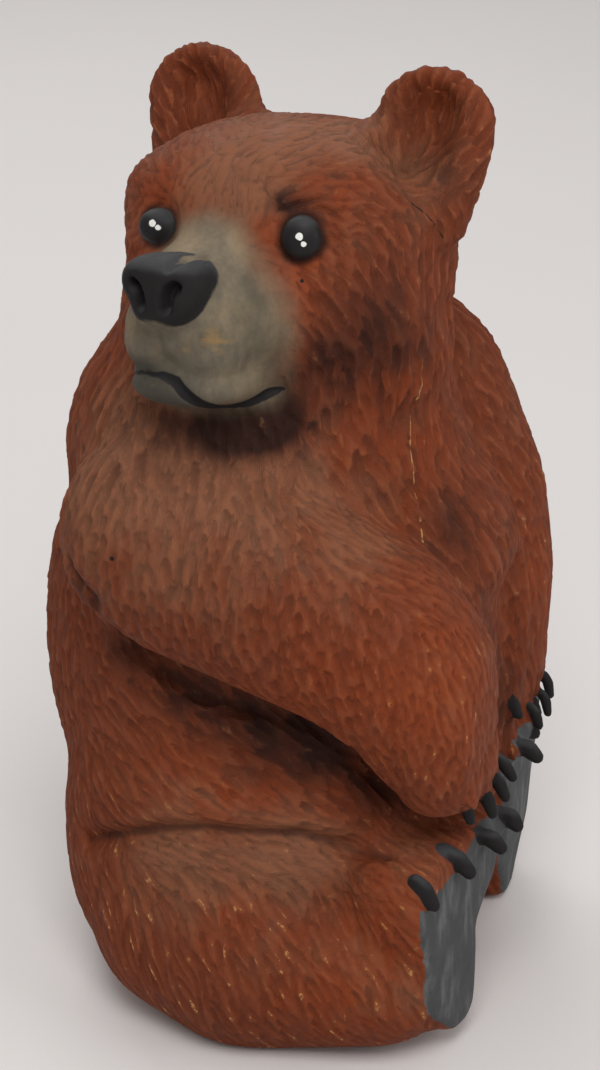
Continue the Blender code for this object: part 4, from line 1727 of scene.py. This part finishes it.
    def greyed(self, nodes: PaintNodes) -> Socket:
        """The greys of the muzzle, brushed downwards.

        Args:
            nodes: the paint's nodes.

        Returns:
            The colour.
        """
        pale = nodes.swayed(nodes.noted("pale"), nodes.cloud, 0.5)
        grey = nodes.mix(nodes.ramp(pale, 0.05, 1.0, 0.0, 1.0), self.muzzle, self.muzzle_pale)
        cool = nodes.ramp(nodes.noise(24.0, 5.0), 0.44, 0.60, 0.0, 0.55)
        grey = nodes.mix(cool, grey, self.muzzle_cool)
        brushed = nodes.noise(1.0, 4.0, nodes.stretched((130.0, 90.0, 50.0)))
        grey = nodes.mix(nodes.ramp(brushed, 0.45, 0.68, 0.0, 0.45), grey, self.muzzle_pale)
        grey = nodes.mix(nodes.ramp(brushed, 0.50, 0.30, 0.0, 0.40), grey, self.muzzle_drab)
        drab = nodes.swayed(nodes.noted("drab"), nodes.cloud, 0.7)
        grey = nodes.mix(nodes.ramp(drab, 0.0, 0.9, 0.0, 0.95), grey, self.muzzle_drab)
        warm = nodes.swayed(nodes.noted("warm"), nodes.patchy, 0.9)
        grey = nodes.mix(nodes.ramp(warm, 0.10, 0.9, 0.0, 0.60), grey, self.muzzle_brown)
        streaks = nodes.noise(1.0, 4.0, nodes.stretched((60.0, 90.0, 260.0)))
        ochre = nodes.swayed(nodes.noted("ochre"), streaks, 2.4)
        return nodes.mix(nodes.ramp(ochre, 0.30, 1.2, 0.0, 0.50), grey, self.ochre)

    def lined(self, nodes: PaintNodes, lines: list[Line], half: float) -> Socket:
        """Where thin wavering lines run.

        Args:
            nodes: the paint's nodes.
            lines: the lines' corners.
            half: their half-width in mm.

        Returns:
            One share from 0 to 1.
        """
        found = None
        for line in lines:
            for here, there in zip(line, line[1:]):
                gap = nodes.swayed(nodes.line_gap(here, there), nodes.patchy, 1.1)
                near = nodes.ramp(gap, half, half * 0.35)
                found = near if found is None else nodes.math("MAXIMUM", found, near)
        return found

    def marked(self, nodes: PaintNodes, dots: list[tuple[Vector, float]]) -> Socket:
        """Where small round marks are.

        Args:
            nodes: the paint's nodes.
            dots: their places, each with its half-size in mm.

        Returns:
            One share from 0 to 1.
        """
        found = None
        for place, half in dots:
            gap = nodes.swayed(nodes.gap(nodes.place(), place), nodes.speck, 0.9)
            spot = nodes.ramp(gap, half + 0.20, half - 0.20)
            found = spot if found is None else nodes.math("MAXIMUM", found, spot)
        return found

    def painted(self, nodes: PaintNodes) -> Socket:
        """The fur, the muzzle, the soles, the dark rings round the eyes and the black, one over the other;
        the rings are dark paint and painted shade in the sockets, and the black is greyer on its upward
        faces, with dust and a painted highlight.

        Args:
            nodes: the paint's nodes.

        Returns:
            The colour.
        """
        colour = self.furred(nodes)
        colour = self.rubbed(nodes, self.shaded(nodes, colour))
        inside = nodes.swayed(nodes.swayed(nodes.noted("muzzle"), nodes.patchy, 7.0), nodes.cloud, 5.0)
        colour = nodes.mix(nodes.ramp(inside, -8.0, 6.5), colour, self.greyed(nodes))
        padded = nodes.swayed(nodes.noted("pad"), nodes.patchy, 1.6)
        streak = nodes.noise(1.0, 3.0, nodes.stretched((160.0, 160.0, 40.0)))
        sole = nodes.mix(nodes.ramp(streak, 0.45, 0.75), self.sole, self.sole_light)
        colour = nodes.mix(nodes.ramp(padded, -0.4, 0.6), colour, sole)
        # A dark ring round each eye: dark paint and painted shade in the socket.
        ring = nodes.ramp(nodes.swayed(nodes.noted("eye"), nodes.patchy, 4.0), 4.6, 0.2, 0.0, 0.92)
        colour = nodes.mix(ring, colour, self.fur_dark)
        black = nodes.ramp(nodes.swayed(nodes.noted("ink"), nodes.patchy, 0.9), 0.45, -0.25)
        # The black turns greyer where it faces up: dust and a painted highlight.
        dust_and_highlight = nodes.ramp(nodes.noted("rise"), 0.40, 0.95, 0.0, 0.70)
        return nodes.mix(black, colour, nodes.mix(dust_and_highlight, self.black, self.black_dust_and_highlight))

    def relief(self, nodes: PaintNodes, hole: object) -> Socket:
        """The grain of the wood, the lines that the gouge left in its cuts, and the holes.

        Args:
            nodes: the paint's nodes.
            hole: where the pin holes and the crack are.

        Returns:
            The bent normal.
        """
        grain = nodes.noise(1.0, 3.0, nodes.stretched((620.0, 620.0, 90.0)))
        lines = nodes.swayed(nodes.times(nodes.noted("aside"), 7.5), nodes.patchy, 6.0)
        faint = nodes.ramp(nodes.noted("edge"), 0.85, 0.55, 0.0, 0.20)
        lines = nodes.times(nodes.math("SINE", lines), faint)
        height = nodes.math("ADD", nodes.times(grain, 0.50), nodes.times(nodes.speck, 0.45))
        height = nodes.math("ADD", height, lines)
        height = nodes.times(height, nodes.ramp(nodes.noted("eye"), 0.3, -0.3, 1.0, 0.10))
        height = nodes.math("SUBTRACT", height, nodes.times(hole, 3.0))
        return nodes.bump(height, 0.55, self.relief_height)

    def material(self, dots: Dots) -> bpy.types.Material:
        """Builds the paint.

        Args:
            dots: the small marks.

        Returns:
            The material.
        """
        nodes = PaintNodes()
        broken = nodes.ramp(nodes.speck, 0.40, 0.52, 0.25, 1.0)
        seam = nodes.times(self.lined(nodes, dots.seams, self.seam_half), broken)
        colour = nodes.mix(seam, self.painted(nodes), self.glue)
        # The pin holes and the crack are painted black: painted shade inside them.
        cracked = self.lined(nodes, dots.cracks, self.crack_half)
        hole = nodes.math("MAXIMUM", self.marked(nodes, dots.pins), cracked)
        colour = nodes.mix(hole, colour, self.black)
        colour = nodes.mix(self.marked(nodes, dots.glints), colour, self.glint)
        colour = nodes.mix(nodes.ramp(nodes.speck, 0.30, 0.70, 0.0, 0.10), colour, self.fur_dark)
        nodes.put(nodes.shader.inputs["Base Color"], colour)
        glossy = nodes.times(nodes.ramp(nodes.noted("eye"), 0.3, -0.3), self.eye_gloss)
        rough = nodes.math("SUBTRACT", nodes.ramp(nodes.patchy, 0.3, 0.7, *self.roughness), glossy)
        nodes.put(nodes.shader.inputs["Roughness"], rough)
        nodes.shader.inputs["Specular IOR Level"].default_value = self.specular
        nodes.put(nodes.shader.inputs["Normal"], self.relief(nodes, hole))
        return nodes.material


@dataclass(frozen=True)
class Muzzle:
    """The grey paint's outline on the muzzle, across and up in head coordinates as shares.

    It goes no further back than the share in back.
    """

    outline: tuple[tuple[float, float], ...] = (
        (-0.039, 0.034), (-0.004, 0.045), (0.029, 0.042), (0.043, 0.025), (0.058, 0.004), (0.073, -0.014),
        (0.083, -0.033), (0.085, -0.064), (0.074, -0.090), (0.066, -0.110), (0.056, -0.132), (0.020, -0.140),
        (-0.030, -0.140), (-0.066, -0.128), (-0.085, -0.100), (-0.088, -0.060), (-0.080, -0.030),
        (-0.064, -0.002), (-0.052, 0.016),
    )
    back: float = -0.095

    def edge(self, head: np.ndarray) -> np.ndarray:
        """How far each spot is inside the grey paint.

        Args:
            head: places in head coordinates, as shares.

        Returns:
            One distance in mm for each spot, above zero inside.
        """
        flat = head[:, (0, 2)]
        nearest = np.full(len(flat), np.inf)
        inside = np.zeros(len(flat), dtype=bool)
        corners = np.array(self.outline)
        for here, there in zip(corners, np.roll(corners, -1, axis=0)):
            along = there - here
            share = np.clip((flat - here) @ along / (along @ along), 0.0, 1.0)
            nearest = np.minimum(nearest, np.linalg.norm(flat - here - share[:, None] * along, axis=1))
            crossed = (here[1] > flat[:, 1]) != (there[1] > flat[:, 1])
            level = here[0] + (flat[:, 1] - here[1]) * along[0] / (along[1] + TINY)
            inside ^= crossed & (flat[:, 0] < level)
        found = np.where(inside, nearest, -nearest) * HEIGHT / MM
        return np.minimum(found, (self.back - head[:, 1]) * HEIGHT / MM)


@dataclass(frozen=True)
class Crease:
    """A crease where a limb lies on the body, on one side or on both, as shares."""

    name: str
    corners: tuple[Share, ...]
    groove: Groove
    both: bool


@dataclass(frozen=True)
class Paring:
    """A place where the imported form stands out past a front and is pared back, as shares."""

    front: float
    strength: float
    place: tuple[Fade, ...]
    most: float = 0.06

    def amount(self, body: np.ndarray) -> np.ndarray:
        """How far each spot is pared back.

        Args:
            body: places as shares.

        Returns:
            One length in metres for each.
        """
        proud = np.clip(-self.front - body[:, 1], 0.0, self.most)
        return faded(body, self.place) * proud * self.strength * HEIGHT


@dataclass(frozen=True)
class Borders:
    """Where the fur ends: the distances at which its cuts start and reach their full depth.

    They are in mm from the paint, the bottom of a crease or the floor. The last pair is how far
    up the skin looks, from -1 to 1.
    """

    muzzle: tuple[float, float] = (2.0, -11.0)
    face: tuple[float, float] = (0.3, 2.5)
    claws: tuple[float, float] = (0.3, 2.0)
    creases: tuple[float, float] = (1.0, 4.0)
    soles: tuple[float, float] = (1.0, -2.0)
    floor: tuple[float, float] = (0.3, 2.5)
    underside: tuple[float, float] = (-0.9, -0.6)


@dataclass
class CarvedBear:
    """The whole bear: one carving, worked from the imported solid.

    Places and sizes are shares. The cells are the skin's squares in metres, rounding and evening
    say how often it is evened out, crisp is the angle over which an edge stays sharp.
    """

    face: Face = Face()
    muzzle: Muzzle = Muzzle()
    claws: Claws = Claws()
    soles: Soles = Soles()
    fur: Fur = Fur()
    paint: PaintedWood = PaintedWood()
    borders: Borders = Borders()
    rough_cell: float = 0.0024
    rounding: tuple[int, float, float] = (22, 0.5, 0.525)
    form_cell: float = 0.0014
    skin_cell: float = 0.00112
    evening: int = 10
    paint_evening: int = 6
    crisp: float = 33.0
    parings: tuple[Paring, ...] = (
        Paring(0.206, 0.85, (
            Fade(Axis.ACROSS, -0.105, -0.060), Fade(Axis.ACROSS, 0.078, 0.040),
            Fade(Axis.UP, 0.235, 0.270), Fade(Axis.UP, 0.520, 0.440),
        )),
        Paring(0.241, 0.60, (
            Fade(Axis.ACROSS, -0.050, -0.085), Fade(Axis.UP, 0.300, 0.345), Fade(Axis.UP, 0.500, 0.450),
        )),
    )
    fuller: tuple[tuple[Share, Share], ...] = (
        ((-0.146, -0.200, 0.338), (0.080, 0.054, 0.055)),
        ((-0.128, -0.204, 0.326), (0.056, 0.046, 0.044)),
        ((0.112, -0.176, 0.286), (0.072, 0.048, 0.052)),
    )
    creases: tuple[Crease, ...] = (
        Crease("thigh", (
            (-0.205, 0.175, 0.200), (-0.215, 0.154, 0.213), (-0.232, 0.086, 0.243), (-0.233, 0.031, 0.255),
            (-0.222, -0.072, 0.260), (-0.206, -0.120, 0.250), (-0.204, -0.160, 0.243),
        ), Groove(0.014, 0.0100), True),
        Crease("arm", (
            (-0.215, 0.175, 0.535), (-0.240, 0.140, 0.507), (-0.205, 0.130, 0.455), (-0.181, 0.091, 0.410),
            (-0.186, 0.046, 0.388), (-0.190, -0.008, 0.383), (-0.215, -0.070, 0.385), (-0.225, -0.122, 0.375),
            (-0.164, -0.138, 0.309), (-0.147, -0.166, 0.272),
        ), Groove(0.014, 0.0070), False),
    )
    crease_bottom: float = 0.7
    glue_line: tuple[Share, ...] = (
        (-0.064, -0.149, 0.721), (-0.061, -0.148, 0.699), (-0.072, -0.141, 0.670), (-0.081, -0.142, 0.649),
        (-0.088, -0.145, 0.631), (-0.093, -0.153, 0.597), (-0.102, -0.159, 0.574), (-0.113, -0.165, 0.557),
    )
    ear_crack: tuple[Share, ...] = (
        (0.150, -0.013, 0.056), (0.158, 0.000, 0.042), (0.162, 0.008, 0.032), (0.166, 0.016, 0.018),
    )
    cheek_pin: Share = (0.093, -0.126, -0.011)
    cheek_pin_half: float = 0.9
    arm_pin: Share = (-0.250, 0.110, 0.560)
    arm_pin_half: float = 1.0
    worn_least: float = 0.12
    worn_foot: Fade = Fade(Axis.UP, 0.32, 0.12)
    tint_most: float = 1.4

    def rounded(self) -> Skin:
        """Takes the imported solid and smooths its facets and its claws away.

        Returns:
            The rounded form.
        """
        skin = Skin("carved_bear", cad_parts["bear"].data.copy())
        skin.made.data.materials.clear()
        skin.fuse(self.rough_cell)
        spots = skin.averaged(skin.spots(), *self.rounding)
        spots[:, 2] = np.maximum(spots[:, 2], 0.0)
        skin.move(spots)
        self.claws.melted(skin)
        self.soles.turned(skin)
        spots = skin.spots()
        body = spots / HEIGHT
        for paring in self.parings:
            spots[:, 1] += paring.amount(body)
        skin.move(spots)
        return skin

    def creased(self, skin: Skin) -> dict[str, Line]:
        """Cuts the creases over both thighs and under the right arm.

        Args:
            skin: the form with its face.

        Returns:
            The lines along their bottoms.
        """
        tree = skin.tree()
        lines = {}
        for crease in self.creases:
            sunk = crease.groove.depth * self.crease_bottom * HEIGHT
            for side in (1, -1) if crease.both else (1,):
                met = [tree.find_nearest(at(mirrored(corner, side)))[:2] for corner in crease.corners]
                skin.press([spot for spot, _ in met], crease.groove)
                lines[f"crease {crease.name} {side}"] = [spot - out * sunk for spot, out in met]
        return lines

    def modelled(self, skin: Skin) -> dict[str, Line]:
        """Gives the rounded form its face, its creases, fuller hands and its claws.

        Args:
            skin: the rounded form.

        Returns:
            The lines of the mouth and of the creases.
        """
        lines = self.face.shape(skin)
        lines.update(self.creased(skin))
        forms = Forms()
        for place, size in self.fuller:
            forms.ball(place, size)
        forms.join(skin)
        self.claws.shape(skin)
        skin.fuse(self.form_cell, 1)
        self.face.nostrils(skin)
        skin.fuse(self.skin_cell, 1)
        return lines

    def furless(self, spots: np.ndarray, normals: np.ndarray, lines: dict[str, Line]) -> np.ndarray:
        """Keeps the gouge off the muzzle, the eyes, the claws, the soles and the underside.

        Args:
            spots: places in metres.
            normals: the outward way at each, evened out.
            lines: what modelled() returned.

        Returns:
            The share of the full depth that fur is cut to at each spot.
        """
        share = stepped(*self.borders.muzzle, self.muzzle.edge(self.face.pose.seen(spots)))
        share *= stepped(*self.borders.face, self.face.ink(spots, lines))
        share *= stepped(*self.borders.claws, self.claws.ink(spots))
        for line in named(lines, "crease"):
            share *= stepped(*self.borders.creases, gaps(spots, line) / MM)
        share *= stepped(*self.borders.soles, self.soles.edge(spots, normals))
        share *= stepped(*self.borders.underside, normals[:, 2])
        return share * stepped(*self.borders.floor, spots[:, 2] / MM)

    def cut(self, skin: Skin, lines: dict[str, Line]) -> dict[str, np.ndarray]:
        """Cuts the fur all over.

        Args:
            skin: the modelled form.
            lines: what modelled() returned.

        Returns:
            For each vertex: how far it stands over its surroundings (mm), how far it is to the side
            of its cut (mm and as a share), how far along it, and the lot of its cut.
        """
        spots = skin.spots()
        normals = self.evened(skin, self.evening)
        amount = self.furless(spots, normals, lines)
        depth, aside, edge, ran, lot = self.fur.cut(spots, normals, amount)
        skin.move(spots - normals * depth[:, None])
        shallow = skin.averaged(depth, self.evening)
        log.info("cut: deepest %.2f mm", depth.max() / MM)
        return {"crest": (shallow - depth) / MM, "aside": aside / MM, "edge": edge, "ran": ran, "lot": lot}

    def evened(self, skin: Skin, rounds: int) -> np.ndarray:
        """Evens the outward ways out over the skin.

        Args:
            skin: whose they are.
            rounds: how often each moves towards its neighbours'.

        Returns:
            One way for each vertex, of length 1.
        """
        normals = skin.averaged(skin.normals(), rounds)
        return normals / np.linalg.norm(normals, axis=1)[:, None]

    def tinted(self, spots: np.ndarray, tint: Tint) -> np.ndarray:
        """How strongly a tint shows at each spot.

        Args:
            spots: places in metres.
            tint: which tint.

        Returns:
            One share for each spot.
        """
        head = self.face.pose.seen(spots)
        body = spots / HEIGHT
        total = np.zeros(len(spots))
        for seen, tint_spots in ((head, HEAD_TINTS), (body, BODY_TINTS)):
            for tint_spot in tint_spots.get(tint, ()):
                gap = np.linalg.norm(seen - np.array(tint_spot.place), axis=1) / tint_spot.reach
                total += tint_spot.strength * np.exp(-gap * gap)
        return np.clip(total, 0.0, self.tint_most)

    def noted(
        self, skin: Skin, lines: dict[str, Line], before: np.ndarray, cuts: dict[str, np.ndarray],
    ) -> None:
        """Keeps on the skin what the paint needs to know.

        Args:
            skin: the finished skin.
            lines: what modelled() returned.
            before: the vertices' places when the fur was cut.
            cuts: what cut() returned, one value for each of those.
        """
        tree = KDTree(len(before))
        for index, spot in enumerate(before):
            tree.insert(spot, index)
        tree.balance()
        spots = skin.spots()
        spots[:, 2] = np.maximum(spots[:, 2], 0.0)
        skin.move(spots)
        nearest = np.array([tree.find(spot)[1] for spot in spots])
        for name, values in cuts.items():
            skin.note(name, values[nearest])
        normals = self.evened(skin, self.paint_evening)
        head = self.face.pose.seen(spots)
        eye = np.minimum(self.face.right_eye.ink(head), self.face.left_eye.ink(head))
        crease = np.min([gaps(spots, line) for line in named(lines, "crease")], axis=0) / MM
        foot = faded(spots / HEIGHT, (self.worn_foot,))
        worn = self.worn_least + (1.0 - self.worn_least) * foot + self.tinted(spots, Tint.WORN)
        # Upward faces make the black greyer (dust and a painted highlight); the eye and crease distances
        # place the painted shade round the eyes and in the creases.
        skin.note("rise", normals[:, 2])
        skin.note("eye", np.clip(eye, -5.0, 20.0))
        skin.note("crease", np.clip(crease, 0.0, 20.0))
        skin.note("worn", np.clip(worn, 0.0, 1.0))
        skin.note("muzzle", self.muzzle.edge(head))
        skin.note("pad", self.soles.edge(spots, normals))
        skin.note("ink", np.minimum(self.face.ink(spots, lines), self.claws.ink(spots)))
        for tint in Tint:
            skin.note(tint.value, self.tinted(spots, tint))

    def dots(self, tree: BVHTree) -> Dots:
        """Finds the places of the white dots on the eyes, the pin holes, the crack and the glue line.

        Args:
            tree: the finished skin.

        Returns:
            The marks, all on the skin.
        """
        pins = [
            (self.face.snapped(tree, (self.cheek_pin,))[0], self.cheek_pin_half),
            (tree.find_nearest(at(self.arm_pin))[0], self.arm_pin_half),
        ]
        seam = [tree.find_nearest(at(place))[0] for place in self.glue_line]
        glints = self.face.glints(tree, Studio().back())
        return Dots(glints, pins, [self.face.snapped(tree, self.ear_crack)], [seam])

    def build(self) -> bpy.types.Object:
        """Carves and paints the bear.

        Returns:
            Its one piece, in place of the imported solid.
        """
        skin = self.rounded()
        log.info("rounded: %d vertices", len(skin.made.data.vertices))
        lines = self.modelled(skin)
        log.info("modelled: %d vertices", len(skin.made.data.vertices))
        cuts = self.cut(skin, lines)
        before = skin.spots()
        skin.thin(FACES)
        self.noted(skin, lines, before, cuts)
        skin.made.data.materials.append(self.paint.material(self.dots(skin.tree())))
        skin.made.data.shade_smooth()
        skin.made.data.set_sharp_from_angle(angle=radians(self.crisp))
        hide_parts("bear")
        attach(skin.made, "root")
        return skin.made


@dataclass(frozen=True)
class Lamp:
    """A soft square lamp: where it hangs and its side in metres, its power, how much less blue it has."""

    name: str
    place: Share
    size: float
    power: float
    warmth: float = 0.0

    def hang(self, aim: Vector) -> None:
        """Hangs the lamp.

        Args:
            aim: where it looks.
        """
        light = bpy.data.lights.new(self.name, "AREA")
        light.size = self.size
        light.energy = self.power
        light.color = (1.0, 1.0 - 0.4 * self.warmth, 1.0 - self.warmth)
        made = bpy.data.objects.new(self.name, light)
        bpy.context.scene.collection.objects.link(made)
        made.location = self.place
        made.rotation_euler = (aim - made.location).to_track_quat("-Z", "Y").to_euler()


@dataclass(frozen=True)
class PaleFloor:
    """The floor's finish: nearly white and slightly uneven."""

    pale: Colour = (0.72, 0.69, 0.68, 1.0)
    shade: Colour = (0.60, 0.58, 0.57, 1.0)
    rough: float = 0.9

    def material(self) -> bpy.types.Material:
        """Builds the finish.

        Returns:
            The material.
        """
        nodes = Nodes("pale_floor")
        uneven = nodes.ramp(nodes.noise(3.0, 2.0), 0.3, 0.7, 0.0, 0.06)
        nodes.put(nodes.shader.inputs["Base Color"], nodes.mix(uneven, self.pale, self.shade))
        nodes.shader.inputs["Roughness"].default_value = self.rough
        nodes.put(nodes.shader.inputs["Normal"], nodes.bump(nodes.noise(900.0, 2.0), 0.15, 0.0005))
        return nodes.material


@dataclass(frozen=True)
class Studio:
    """A pale floor, soft light and the camera. Lengths are in metres, the lens in mm."""

    azimuth: float = -72.0
    elevation: float = 25.0
    distance: float = 1.391
    aim: Share = (0.0, 0.0, 0.2302)
    lens: float = 95.0
    sensor: float = 36.0
    near: float = 0.05
    floor_half: float = 4.0
    floor_finish: PaleFloor = PaleFloor()
    lamps: tuple[Lamp, ...] = (
        Lamp("key", (-1.2, -0.4, 1.9), 0.9, 22.0, 0.02),
        Lamp("fill", (-0.2, -2.0, 1.2), 1.4, 12.0),
        Lamp("back", (1.4, 1.0, 1.8), 1.4, 14.0),
    )
    room_colour: Colour = (1.0, 0.99, 0.98, 1.0)
    room_strength: float = 0.50

    def floor(self) -> None:
        """A wide pale floor."""
        half = self.floor_half
        corners = [(-half, -half, 0.0), (half, -half, 0.0), (half, half, 0.0), (-half, half, 0.0)]
        mesh = bpy.data.meshes.new("floor")
        mesh.from_pydata(corners, [], [(0, 1, 2, 3)])
        made = bpy.data.objects.new("floor", mesh)
        bpy.context.scene.collection.objects.link(made)
        mesh.materials.append(self.floor_finish.material())

    def back(self) -> Vector:
        """The way from the bear to the camera."""
        turn, lift = radians(self.azimuth), radians(self.elevation)
        return Vector((sin(turn) * cos(lift), -cos(turn) * cos(lift), sin(lift)))

    def camera(self) -> None:
        """The camera, at the photograph's viewing angle."""
        data = bpy.data.cameras.new("camera")
        data.sensor_width = self.sensor
        data.lens = self.lens
        data.clip_start = self.near
        made = bpy.data.objects.new("camera", data)
        bpy.context.scene.collection.objects.link(made)
        made.location = Vector(self.aim) + self.back() * self.distance
        made.rotation_euler = (-self.back()).to_track_quat("-Z", "Y").to_euler()
        bpy.context.scene.camera = made

    def build(self) -> None:
        """Sets up floor, lamps, room light and camera."""
        self.floor()
        for lamp in self.lamps:
            lamp.hang(Vector(self.aim))
        world = bpy.data.worlds.new("room")
        bpy.context.scene.world = world
        world.use_nodes = True
        light = world.node_tree.nodes["Background"]
        light.inputs["Color"].default_value = self.room_colour
        light.inputs["Strength"].default_value = self.room_strength
        bpy.context.scene.view_settings.view_transform = "Standard"
        self.camera()


def main() -> None:
    """Builds the bear and its studio."""
    logging.basicConfig(level=logging.INFO, format="%(message)s")
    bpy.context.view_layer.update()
    bear = CarvedBear().build()
    log.info("%s: %d faces, one piece", bear.name, len(bear.data.polygons))
    Studio().build()
    log.info("studio: floor, lamps and camera")


if __name__ == "__main__":
    main()
